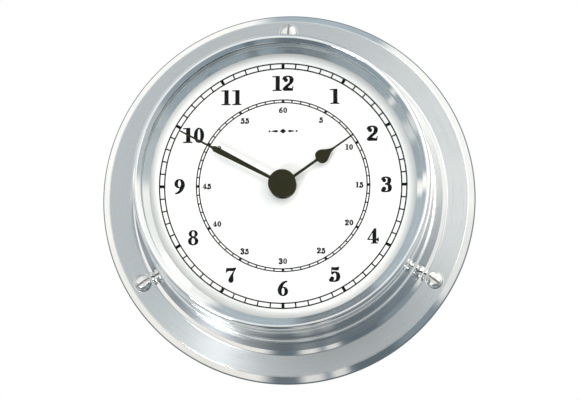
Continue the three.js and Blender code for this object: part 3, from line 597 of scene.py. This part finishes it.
def numeral_shapes(hair):
    """Bold modern-face numerals, one unit high: for each, its width, inks and counters."""
    zero_ink, zero_counter = bowl(0.33, 0.5, 0.33, 0.5, 0.235, hair)
    six_ink, six_counter = bowl(0.345, 0.305, 0.325, 0.305, 0.225, hair)
    six_inks = [
        six_ink,
        stroke([(0.60, 0.965), (0.42, 0.90), (0.24, 0.72), (0.125, 0.45), (0.14, 0.27)], 0.25, hair),
        polygon((0.50, 0.925), (0.60, 0.90), (0.64, 0.985), (0.585, 1.0)),
    ]
    turn_over = lambda shape: [Vector((0.68 - p.x, 1 - p.y)) for p in shape]
    eight_top, eight_top_counter = bowl(0.335, 0.76, 0.29, 0.24, 0.19, hair)
    eight_low, eight_low_counter = bowl(0.335, 0.275, 0.335, 0.275, 0.22, hair)
    return {
        "0": (0.66, [zero_ink], [zero_counter]),
        "1": (0.60, [
            polygon((0.205, 0.03), (0.47, 0.03), (0.47, 1.0), (0.0, 0.985), (0.0, 0.92), (0.205, 0.925)),
            polygon((0.0, 0.0), (0.60, 0.0), (0.60, 0.06), (0.50, 0.07), (0.46, 0.12),
                    (0.215, 0.12), (0.17, 0.07), (0.0, 0.06)),
        ], []),
        "2": (0.66, [
            ellipse(0.155, 0.715, 0.13, 0.125),
            stroke([(0.05, 0.73), (0.11, 0.90), (0.30, 0.97), (0.48, 0.89), (0.535, 0.73),
                    (0.47, 0.54), (0.28, 0.36), (0.10, 0.17), (0.04, 0.04)], 0.25, hair),
            polygon((0.0, 0.0), (0.61, 0.0), (0.66, 0.31), (0.61, 0.31), (0.575, 0.185), (0.50, 0.165),
                    (0.36, 0.20), (0.20, 0.225), (0.08, 0.16), (0.02, 0.06)),
        ], []),
        "3": (0.65, [
            ellipse(0.15, 0.765, 0.12, 0.115),
            ellipse(0.14, 0.215, 0.135, 0.13),
            stroke([(0.06, 0.79), (0.12, 0.93), (0.29, 0.975), (0.45, 0.90), (0.49, 0.76),
                    (0.43, 0.60), (0.22, 0.525)], 0.235, hair),
            stroke([(0.22, 0.525), (0.44, 0.47), (0.525, 0.29), (0.46, 0.09), (0.28, 0.025),
                    (0.10, 0.06), (0.04, 0.19)], 0.245, hair),
        ], []),
        "4": (0.74, [
            polygon((0.0, 0.295), (0.0, 0.245), (0.06, 0.245), (0.36, 0.79), (0.36, 0.90), (0.52, 1.0),
                    (0.44, 1.0)),
            polygon((0.34, 0.04), (0.58, 0.04), (0.58, 1.0), (0.50, 1.0), (0.34, 0.80)),
            polygon((0.0, 0.235), (0.60, 0.235), (0.70, 0.13), (0.74, 0.13), (0.74, 0.39), (0.70, 0.39),
                    (0.60, 0.295), (0.0, 0.295)),
            polygon((0.22, 0.0), (0.70, 0.0), (0.70, 0.05), (0.60, 0.06), (0.57, 0.10), (0.35, 0.10),
                    (0.32, 0.06), (0.22, 0.05)),
        ], []),
        "5": (0.68, [
            polygon((0.10, 0.95), (0.145, 0.96), (0.33, 0.935), (0.56, 0.975), (0.62, 1.0), (0.575, 0.76),
                    (0.45, 0.745), (0.145, 0.775), (0.145, 0.50), (0.10, 0.50)),
            ellipse(0.145, 0.205, 0.135, 0.13),
            stroke([(0.115, 0.53), (0.30, 0.635), (0.49, 0.54), (0.555, 0.33), (0.48, 0.11), (0.28, 0.025),
                    (0.10, 0.06), (0.04, 0.19)], 0.245, hair),
        ], []),
        "6": (0.68, six_inks, [six_counter]),
        "7": (0.70, [
            polygon((0.05, 0.985), (0.095, 0.985), (0.13, 0.945), (0.25, 0.965), (0.42, 0.955),
                    (0.55, 0.975), (0.70, 1.0), (0.66, 0.90), (0.58, 0.78), (0.40, 0.77), (0.22, 0.775),
                    (0.12, 0.76), (0.055, 0.66), (0.0, 0.66)),
            polygon((0.70, 1.0), (0.60, 0.78), (0.535, 0.82)),
            through([(0.69, 0.99), (0.52, 0.62), (0.49, 0.40), (0.50, 0.12), (0.35, -0.01), (0.19, 0.10),
                     (0.23, 0.30), (0.42, 0.62), (0.56, 0.82)], True),
        ], []),
        "8": (0.67, [eight_top, eight_low], [eight_top_counter, eight_low_counter]),
        "9": (0.68, [turn_over(ink) for ink in six_inks], [turn_over(six_counter)]),
    }


HOUR_HAIR = 0.07
HOUR_SPREAD = 0.013
MINUTE_HAIR = 0.16  # the small numerals keep a hairline that still prints
MINUTE_SPREAD = 0.03
NUMERAL_SPACE = 0.12


def anticlockwise(loop):
    area = sum(a.cross(b) for a, b in zip(loop, loop[1:] + loop[:1]))
    return loop if area > 0 else loop[::-1]


def spread_out(loop, amount):
    """The loop with its edge moved outwards, as ink spreads round a printed shape."""
    loop = anticlockwise([point for i, point in enumerate(loop) if (point - loop[i - 1]).length > 1e-5])
    spread = []
    for i, point in enumerate(loop):
        before = (point - loop[i - 1]).normalized()
        after = (loop[(i + 1) % len(loop)] - point).normalized()
        outwards = Vector((before.y + after.y, -before.x - after.x))
        spread.append(point + outwards * amount / max(outwards.length, 0.5))
    return spread


def flatten(inks, counters, spread):
    """Joins overlapping inks and cuts the counters out: flat triangles as (points, faces)."""
    points, faces = [], []
    inks = [spread_out(loop, spread) for loop in inks]
    counters = [spread_out(loop, -spread / 2) for loop in counters]
    for loop in inks + counters:
        start = len(points)
        points.extend(loop)
        faces.append(list(range(start, start + len(loop))))
    result = delaunay_2d_cdt(points, [], faces, 1, 1e-5, True)
    verts, _, triangles, _, _, owners = result
    kept = []
    for triangle, owner in zip(triangles, owners):
        inked = any(o < len(inks) for o in owner)
        countered = any(o >= len(inks) for o in owner)
        if inked and not countered:
            kept.append(triangle)
    return verts, kept


def typeface(hair, spread):
    """Each numeral as its width and flat triangles."""
    face = {}
    for digit, (width, inks, counters) in numeral_shapes(hair).items():
        face[digit] = (width, *flatten(inks, counters, spread))
    return face


class Print:
    """Ink on the dial, gathered as flat faces, then given its thickness."""

    def __init__(self):
        self.bm = bmesh.new()

    def face(self, points):
        verts = [self.bm.verts.new((x, -DIAL_FRONT, z)) for x, z in points]
        self.bm.faces.new(verts)

    def ring(self, inner, outer, steps=ROUND):
        for i in range(steps):
            a, b = 360 * i / steps, 360 * (i + 1) / steps
            self.face([on_dial(inner, a), on_dial(outer, a), on_dial(outer, b), on_dial(inner, b)])

    def tick(self, inner, outer, degrees, width):
        side = math.degrees(width / 2 / ((inner + outer) / 2))
        self.face([
            on_dial(inner, degrees - side), on_dial(outer, degrees - side),
            on_dial(outer, degrees + side), on_dial(inner, degrees + side),
        ])

    def railway(self, inner, outer, line, bold):
        """Two circles with sixty ticks between them, every fifth one bold."""
        self.ring(outer - line, outer)
        self.ring(inner, inner + line)
        for minute in range(60):
            width = line if minute % 5 else bold
            self.tick(inner + line, outer - line, minute * 6, width)

    def number(self, text, face, radius, degrees, height):
        total = sum(face[c][0] for c in text) + NUMERAL_SPACE * (len(text) - 1)
        x, z = on_dial(radius, degrees)
        pen_x = x - total * height / 2
        base = z - height / 2
        for digit in text:
            width, verts, triangles = face[digit]
            for corners in triangles:
                self.face([(pen_x + verts[v].x * height, base + verts[v].y * height) for v in corners])
            pen_x += (width + NUMERAL_SPACE) * height

    def ornament(self, radius):
        """A lozenge between two leaf-shaped bars, each ending in a small lozenge."""
        self.lozenge(0, radius, 1.05, 0.85)
        for side in (-1, 1):
            self.face([
                (side * 1.35, radius), (side * 2.1, radius - 0.42), (side * 3.7, radius - 0.1),
                (side * 3.7, radius + 0.1), (side * 2.1, radius + 0.42),
            ])
            self.lozenge(side * 4.3, radius, 0.42, 0.42)

    def lozenge(self, x, z, half_width, half_height):
        self.face([(x, z - half_height), (x + half_width, z), (x, z + half_height), (x - half_width, z)])

    def make(self, name):
        bmesh.ops.remove_doubles(self.bm, verts=self.bm.verts, dist=1e-4)
        for face in self.bm.faces:
            if face.normal.y > 0:
                face.normal_flip()
        faces = list(self.bm.faces)
        grown = bmesh.ops.extrude_face_region(self.bm, geom=faces, use_keep_orig=True)["geom"]
        moved = [v for v in grown if isinstance(v, bmesh.types.BMVert)]
        bmesh.ops.translate(self.bm, vec=(0, -INK_THICK, 0), verts=moved)
        return finish_mesh(name, self.bm)


def dial_print():
    ink = Print()
    ink.railway(CHAPTER_INNER_R, CHAPTER_OUTER_R, 0.43, 0.95)
    ink.railway(TRACK_INNER_R, TRACK_OUTER_R, 0.4, 0.84)
    bold, small = typeface(HOUR_HAIR, HOUR_SPREAD), typeface(MINUTE_HAIR, MINUTE_SPREAD)
    for hour in range(1, 13):
        ink.number(str(hour), bold, HOUR_NUMERAL_R, hour * 30, HOUR_NUMERAL_HEIGHT)
        ink.number(str(hour * 5), small, MINUTE_NUMERAL_R, hour * 30, MINUTE_NUMERAL_HEIGHT)
    ink.ornament(ORNAMENT_R)
    return stand_for(ink.make("dial_print"), "case", "black_enamel", [], INK)


# ------------------------------------------------------------------ hands

HAND_BEVEL = 0.05


def hand_outline(edge, boss_r):
    """A hand pointing to twelve: a round boss, then (distance, half width) points up one side."""
    start_along, start_half = edge[0]
    leave = math.asin(start_half / boss_r)
    outline = []
    for i in range(49):
        angle = leave + (2 * math.pi - 2 * leave) * i / 48
        outline.append((boss_r * math.sin(angle), boss_r * math.cos(angle)))
    outline += [(-half, along) for along, half in edge[1:]]
    outline += [(half, along) for along, half in reversed(edge[1:])]
    return outline


def smooth_edge(points):
    return [tuple(p) for p in through(points, steps=6)]


def hour_hand():
    length = 27.2
    bulge = smooth_edge([
        (0.487 * length, 0.42), (0.495 * length, 1.2), (0.515 * length, 1.9), (0.553 * length, 2.22),
        (0.592 * length, 2.0), (0.64 * length, 1.2), (0.69 * length, 0.52), (0.74 * length, 0.27),
    ])
    edge = [(4, 0.42), (0.48 * length, 0.4)] + bulge + [(length, 0.25)]
    bm = extruded_bmesh(hand_outline(edge, 4.1), 30.4, 30.8, HAND_BEVEL)
    obj = cut(finish_mesh("hour_hand_blade", bm), cylinder_bmesh(2.25, 29, 32))
    spin_about_own_axis(obj, 0, 0, HOUR_ANGLE)
    return stand_for(obj, "hour_hand_body", "black_enamel", ["hour_hand"], HAND_BLACK)


def minute_hand():
    length = 36.5
    shoulder = smooth_edge([
        (0.60 * length, 0.9), (0.635 * length, 0.93), (0.67 * length, 0.62), (0.705 * length, 0.33),
        (0.73 * length, 0.32),
    ])
    edge = [(4, 0.5)] + shoulder + [(length, 0.25)]
    bm = extruded_bmesh(hand_outline(edge, 4.1), 31.7, 32.1, HAND_BEVEL)
    obj = cut(finish_mesh("minute_hand_blade", bm), cylinder_bmesh(1.45, 31, 33))
    spin_about_own_axis(obj, 0, 0, MINUTE_ANGLE)
    return stand_for(obj, "minute_hand_body", "black_enamel", ["minute_hand"], HAND_BLACK)


def hub_cap():
    corners = [
        (0, 30.6, 0), (0.65, 30.6, 0.1), (0.65, 32.35, 0.1), (4.42, 32.35, 0.08),
        (4.42, 33.2, 0.22), (0, 33.25, 0),
    ]
    obj = turned("hub_cap_disc", corners, SMALL_ROUND * 2)
    return stand_for(obj, "minute_hand_body", "black_enamel", ["hub_cap"], HAND_BLACK)


# ------------------------------------------------------------------ screws

WOOD_THREAD_PITCH = 1.35


def threaded_shank(core_r, crest_r, front, back, tip, pitch):
    """A closed screw shank with a helical thread, tapering to a point at its back end."""
    around, rows = 36, 150
    bm = bmesh.new()
    rings = []
    for row in range(rows + 1):
        forward = front + (tip - front) * row / rows
        past = max(0.0, (back - forward) / (back - tip))
        taper = math.sqrt(max(0.0, 1 - past ** 2)) if past < 1 else 0.0
        ring = []
        for i in range(around):
            angle = 2 * math.pi * i / around
            phase = (forward / pitch + i / around) % 1
            ridge = max(0.0, 1 - abs(phase - 0.5) / 0.22)
            fade = min(1.0, (front - forward) / pitch)
            r = max(0.05, taper * (core_r + (crest_r - core_r) * ridge * fade))
            ring.append(bm.verts.new((r * math.sin(angle), -forward, r * math.cos(angle))))
        rings.append(ring)
    for low, high in zip(rings, rings[1:]):
        for i in range(around):
            j = (i + 1) % around
            bm.faces.new((low[i], low[j], high[j], high[i]))
    bm.faces.new(rings[0])
    bm.faces.new(rings[-1][::-1])
    return bm


def mounting_screw(number, clock_angle, slot_turn):
    crown = FLANGE_FACE + 1.25
    head = rounded([
        (0, crown, 0), (1.5, crown - 0.12, 0.6), (2.35, crown - 0.55, 0.9), (2.72, FLANGE_FACE + 0.1, 0.12),
        (2.72, FLANGE_FACE - 0.1, 0.05), (1.72, FLANGE_FACE - 1.1, 0.1), (1.72, 1, 0), (0, 1, 0),
    ])
    obj = finish_mesh(f"mounting_screw_{number}_steel", turned_bmesh(head, 96))
    cut(obj, block_bmesh((-0.33, -crown - 1, -4), (0.33, -crown + 0.95, 4)))
    shank = finish_mesh("shank", threaded_shank(1.25, 1.74, 1.1, -9.5, -13, WOOD_THREAD_PITCH))
    combine(obj, shank, "UNION")
    stand_for(obj, "case", "polished_steel", [f"mounting_screw_{number}"], SCREW_STEEL, SLOT_PAINTED_SHADE_STEEL)
    for face in obj.data.polygons:
        x, y = face.center.x / MM, face.center.y / MM
        # The slot's faces take the painted shade.
        face.material_index = 1 if abs(x) < 0.335 and -y > crown - 1 else 0
    spin_about_own_axis(obj, *on_dial(SCREW_CIRCLE_R, clock_angle), slot_turn)
    return obj


def cover_screw(number, clock_angle):
    profile = rounded([
        (0, 0.12, 0), (1.3, 0.14, 0.3), (1.9, 0.4, 0.25), (1.9, 1.05, 0.05), (0.95, 1.05, 0.05),
        (0.95, 5, 0.2), (0, 5, 0),
    ])
    obj = finish_mesh(f"cover_screw_{number}_steel", turned_bmesh(profile, 64))
    cut(obj, block_bmesh((-3, -0.55, -0.25), (3, 0.5, 0.25)))
    x, z = on_dial(COVER_SCREW_CIRCLE_R, clock_angle)
    spin_about_own_axis(obj, x, z, 40 * (number - 1))
    return stand_for(obj, "case", "plain_steel", [f"cover_screw_{number}"], STEEL)


# ------------------------------------------------------------------ back and battery

COVER_BACK = 1.1
COVER_FRONT = 2.6
COVER_PANEL = 1.4  # the cover's middle is let in behind its rim
KNOB_PLACE = (-12.351, 7.868)
KNOB_OPENING_R = 8.6
BATTERY_FORWARD = 17.3
BATTERY_Z = -19.45
BATTERY_R = 7.1
BATTERY_HALF = 25.25


def rounded_rectangle(half_width, low, high, radius, steps=6):
    outline = []
    for x, z, start in (
        (half_width - radius, high - radius, 0), (radius - half_width, high - radius, 90),
        (radius - half_width, low + radius, 180), (half_width - radius, low + radius, 270),
    ):
        for i in range(steps + 1):
            angle = math.radians(start + 90 * i / steps)
            outline.append((x + radius * math.cos(angle), z + radius * math.sin(angle)))
    return outline


def battery_frame(margin, radius):
    half_high = 8.2 + margin
    return rounded_rectangle(26.5 + margin, BATTERY_Z - half_high, BATTERY_Z + half_high, radius)


def rear_cover():
    """Moulded cover: a let-in panel, raised borders round both openings, and stiffening ribs."""
    obj = turned("rear_cover_moulding", [
        (0, COVER_PANEL, 0), (40.2, COVER_PANEL, 0.2), (40.6, COVER_BACK, 0.1), (44.9, COVER_BACK, 0.3),
        (44.9, COVER_FRONT, 0.1), (0, COVER_FRONT, 0),
    ])
    borders = (
        extruded_bmesh(battery_frame(1.6, 3.8), 0.75, 2, 0.15),
        cylinder_bmesh(KNOB_OPENING_R + 1.5, 0.75, 2, *KNOB_PLACE, 96),
    )
    ribs = [block_bmesh((x - 0.5, -2, 12), (x + 0.5, -COVER_BACK, 33)) for x in (8, 13, 18)]
    for piece in (*borders, *ribs):
        combine(obj, finish_mesh("raised", piece), "UNION")
    openings = [
        extruded_bmesh(battery_frame(0, 3), -1, 4),
        cylinder_bmesh(KNOB_OPENING_R, -1, 4, *KNOB_PLACE, 96),
    ]
    for angle in COVER_SCREW_ANGLES:
        openings.append(cylinder_bmesh(1.25, -1, 4, *on_dial(COVER_SCREW_CIRCLE_R, angle), 32))
    cut(obj, *openings)
    return stand_for(obj, "case", "black_plastic", ["rear_cover"], BLACK_PLASTIC)


def battery():
    """A plain AA cell: a wrapped can with a light band, a flat base and a raised terminal."""
    band_from, can_end = 11, BATTERY_HALF - 1.4
    profile = held_flat(rounded([
        (0, -BATTERY_HALF, 0), (5.6, -BATTERY_HALF, 0.2), (6.1, 0.35 - BATTERY_HALF, 0.1),
        (BATTERY_R, 0.35 - BATTERY_HALF, 0.4), (BATTERY_R, band_from, 0), (BATTERY_R, can_end, 0.6),
        (2.75, can_end, 0.2), (2.7, BATTERY_HALF, 0.4), (0, BATTERY_HALF, 0),
    ]))
    bm = turned_bmesh(profile, 96)
    place = Matrix.Translation((0, -BATTERY_FORWARD, BATTERY_Z)) @ Matrix.Rotation(math.radians(90), 4, "Z")
    bm.transform(place)
    obj = finish_mesh("battery_cell", bm)
    stand_for(obj, "case", "battery_wrap", ["battery"], BATTERY_WRAP, BATTERY_BAND, STEEL)
    for face in obj.data.polygons:
        along = face.center.x / MM
        out = math.hypot(-face.center.y / MM - BATTERY_FORWARD, face.center.z / MM - BATTERY_Z)
        if out < 6.3 and abs(along) > can_end - 0.2:
            face.material_index = 2
        elif along > band_from:
            face.material_index = 1
    return obj


# ------------------------------------------------------------------ stage

def floor():
    bm = cylinder_bmesh(450, 0, 4, 0, 0, 96)
    obj = finish_mesh("floor", bm)
    obj.data.transform(Matrix.Translation((0, 0, -0.35)) @ Matrix.Rotation(math.radians(90), 4, "X"))
    material, tree, shader = blank_material("pale_floor")
    drift = noise(tree, position(tree), 3.0)
    tone = mix_colours(tree, drift, rgb(0.86, 0.865, 0.87), rgb(0.9, 0.9, 0.9))
    set_inputs(shader, tree, {"Base Color": tone, "Roughness": 0.8})
    obj.data.materials.append(material)
    obj.visible_glossy = False


def softbox(name, place, size, power, colour=(1, 1, 1), target=(0, 0, 0)):
    light = bpy.data.lights.new(name, "AREA")
    light.shape = "RECTANGLE"
    light.size, light.size_y = size
    light.energy = power
    light.color = colour
    obj = bpy.data.objects.new(name, light)
    bpy.context.scene.collection.objects.link(obj)
    obj.location = place
    aim = Vector(target) - Vector(place)
    obj.rotation_euler = aim.to_track_quat("-Z", "Y").to_euler()
    obj.visible_camera = False
    return obj


# Panels of the room that the polished metal reflects. Each is (from, to, near, far, brightness):
# clockwise from straight up as the dial is seen, then degrees away from where the flat front
# faces reflect the camera.
WHITE_PANELS = (
    (0, 360, -5, 36, 0.5),
    (0, 360, 128, 184, 0.5),
)
CREAM_PANELS = (
    (24, 86, 66, 104, 0.66),
    (24, 86, 34, 66, 0.62),
    (86, 120, 36, 78, 0.13),
    (86, 120, 78, 104, 0.56),
    (192, 350, 83, 104, 0.7),
    (268, 359, 37, 56, 0.5),
    (1, 26, 37, 56, 0.5),
    (275, 281, 40, 76, 0.8),
    (250, 258, 40, 76, 0.4),
    (237, 240, 40, 76, 0.5),
    (162, 168, 78, 104, 0.56),
    (171, 179, 78, 104, 0.56),
)
ROOM_SHADES = (
    (136, 190, 12, 56, 0.55),
    (122, 161, 80, 108, 0.18),
    (142, 161, 80, 108, 0.3),
    (180, 191, 80, 108, 0.4),
    (180, 204, 40, 76, 0.4),
    (166, 171, 40, 76, 0.4),
    (322, 352, 57, 76, 0.45),
    (0, 360, 106, 124, 0.5),
)
ROOM_SOFT_EDGE = 4


def room_patches(tree, patches):
    """Total of the patches' strengths in each direction."""
    outwards = add_node(tree, "ShaderNodeTexCoord").outputs["Generated"]
    turned = add_node(tree, "ShaderNodeVectorRotate", {
        "Vector": outwards, "Rotation": (math.radians(-CAMERA_ELEVATION), 0, math.radians(CAMERA_AZIMUTH)),
    }, rotation_type="EULER_XYZ").outputs[0]
    x, y, z = add_node(tree, "ShaderNodeSeparateXYZ", {0: turned}).outputs
    degrees = 180 / math.pi
    clock = maths(tree, "MULTIPLY", maths(tree, "ARCTAN2", x, z), degrees)
    clock = maths(tree, "ADD", clock, maths(tree, "MULTIPLY", maths(tree, "LESS_THAN", clock, 0), 360))
    away = maths(tree, "MULTIPLY", maths(tree, "ARCCOSINE", maths(tree, "MULTIPLY", y, -1)), degrees)

    def rises(value, edge, soft):
        return add_node(tree, "ShaderNodeMapRange", {
            "Value": value, "From Min": edge - soft, "From Max": edge + soft,
        }, interpolation_type="SMOOTHSTEP").outputs["Result"]

    total = 0.0
    for start, end, near, far, strength in patches:
        soft = min(ROOM_SOFT_EDGE, (end - start) / 3)
        lit = maths(tree, "MULTIPLY", rises(away, near, ROOM_SOFT_EDGE), rises(away, far, -ROOM_SOFT_EDGE))
        lit = maths(tree, "MULTIPLY", lit, strength)
        if (start, end) != (0, 360):
            across = maths(tree, "MULTIPLY", rises(clock, start, soft), rises(clock, end, -soft))
            lit = maths(tree, "MULTIPLY", lit, across)
        total = maths(tree, "ADD", total, lit)
    return total, z


def world_light():
    """A plain studio: a white backdrop, and a soft blue-grey room with white panels to reflect."""
    world = bpy.data.worlds.new("studio")
    bpy.context.scene.world = world
    world.use_nodes = True
    tree = world.node_tree
    tree.nodes.clear()
    white, height = room_patches(tree, WHITE_PANELS)
    cream, _ = room_patches(tree, CREAM_PANELS)
    shade, _ = room_patches(tree, ROOM_SHADES)
    kept = maths(tree, "SUBTRACT", 1.0, shade)
    rise = remap(tree, height, 0, 1, -0.9, 0.3)
    tone = mix_colours(tree, rise, rgb(0.26, 0.32, 0.355), rgb(0.46, 0.53, 0.57))
    walls = add_node(tree, "ShaderNodeBackground", {"Color": tone, "Strength": kept}).outputs[0]
    room = walls
    for colour, strength in ((rgb(1, 0.91, 0.81), white), (rgb(1, 0.86, 0.72), cream)):
        lit = add_node(tree, "ShaderNodeBackground", {"Color": colour, "Strength": strength}).outputs[0]
        room = add_node(tree, "ShaderNodeAddShader", {0: room, 1: lit}).outputs[0]
    backdrop = add_node(tree, "ShaderNodeBackground", {"Color": rgb(1, 1, 1), "Strength": 1.0}).outputs[0]
    seen = add_node(tree, "ShaderNodeLightPath").outputs["Is Camera Ray"]
    mixed = add_node(tree, "ShaderNodeMixShader", {0: seen, 1: room, 2: backdrop}).outputs[0]
    add_node(tree, "ShaderNodeOutputWorld", {"Surface": mixed})


def studio():
    floor()
    world_light()
    key = softbox("key", (-0.09, -1.15, 0.42), (0.34, 0.34), 2.6, (1, 0.995, 0.985))
    key.visible_glossy = False
    softbox("right_window", (0.29, -0.42, 0.21), (0.26, 0.56), 1.1, (1, 0.91, 0.8))
    softbox("left_window", (-0.18, -0.38, -0.215), (0.08, 0.08), 0.6, (1, 0.97, 0.93))
    back_fill = softbox("back_fill", (0.35, 0.9, 0.5), (0.5, 0.5), 8)
    back_fill.visible_glossy = False
    bpy.context.scene.view_settings.view_transform = "Standard"


CAMERA_DISTANCE = 1.4
CAMERA_AZIMUTH = 3.9
CAMERA_ELEVATION = -9.15
PICTURE_WIDTH = 580
PIXELS_PER_MM = 3.11
AIM_RIGHT_MM = 0.3
AIM_UP_MM = -0.13


def camera():
    data = bpy.data.cameras.new("camera")
    obj = bpy.data.objects.new("camera", data)
    bpy.context.scene.collection.objects.link(obj)
    data.sensor_width = 36
    data.lens = PIXELS_PER_MM / MM * CAMERA_DISTANCE * data.sensor_width / PICTURE_WIDTH
    data.clip_start, data.clip_end = 0.05, 20
    turn, lift = math.radians(CAMERA_AZIMUTH), math.radians(CAMERA_ELEVATION)
    back = Vector((math.sin(turn) * math.cos(lift), -math.cos(turn) * math.cos(lift), math.sin(lift)))
    aim = (-back).to_track_quat("-Z", "Y")
    offset = aim @ Vector((AIM_RIGHT_MM * MM, AIM_UP_MM * MM, 0))
    obj.location = back * CAMERA_DISTANCE + offset
    obj.rotation_euler = aim.to_euler()
    bpy.context.scene.camera = obj


# ------------------------------------------------------------------ carried-over CAD nodes

CARRIED = {
    # The bushing, nut and washer take near-black brass as painted shade under the hub.
    "threaded_bushing": BRASS_PAINTED_SHADE, "bushing_nut": BRASS_PAINTED_SHADE, "nut_washer": BRASS_PAINTED_SHADE, "rubber_washer": RUBBER,
    "movement_case_front": GREY_PLASTIC, "movement_case_back": GREY_PLASTIC,
    "minute_arbor": STEEL, "minute_wheel": WHITE_PLASTIC, "hour_wheel": WHITE_PLASTIC,
    "setting_knob": BLACK_PLASTIC, "centre_wheel": BRASS, "third_wheel": WHITE_PLASTIC,
    "seconds_wheel": WHITE_PLASTIC, "intermediate_wheel": WHITE_PLASTIC, "rotor_pinion": WHITE_PLASTIC,
    "rotor_magnet": MAGNET, "stator": STEEL, "coil_core": STEEL, "coil_bobbin": BLACK_PLASTIC,
    "coil_winding": COPPER, "circuit_board": BOARD, "timing_chip": BLACK_PLASTIC,
    "quartz_crystal": STEEL, "battery_contact_positive": STEEL,
    "battery_contact_negative": STEEL,
}


def dress_carried_nodes():
    for name, material in CARRIED.items():
        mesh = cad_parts[name].data
        mesh.materials.clear()
        mesh.materials.append(material)


# ------------------------------------------------------------------ the clock

def clock():
    mounting_flange()
    drum_body()
    bezel()
    glass()
    glass_gasket()
    dial_ring()
    dial()
    dial_print()
    hour_hand()
    minute_hand()
    hub_cap()
    for i, angle in enumerate(SCREW_ANGLES):
        mounting_screw(i + 1, angle, SLOT_TURNS[i])
    for i, angle in enumerate(COVER_SCREW_ANGLES):
        cover_screw(i + 1, angle)
    rear_cover()
    battery()
    dress_carried_nodes()


camera()
studio()
clock()
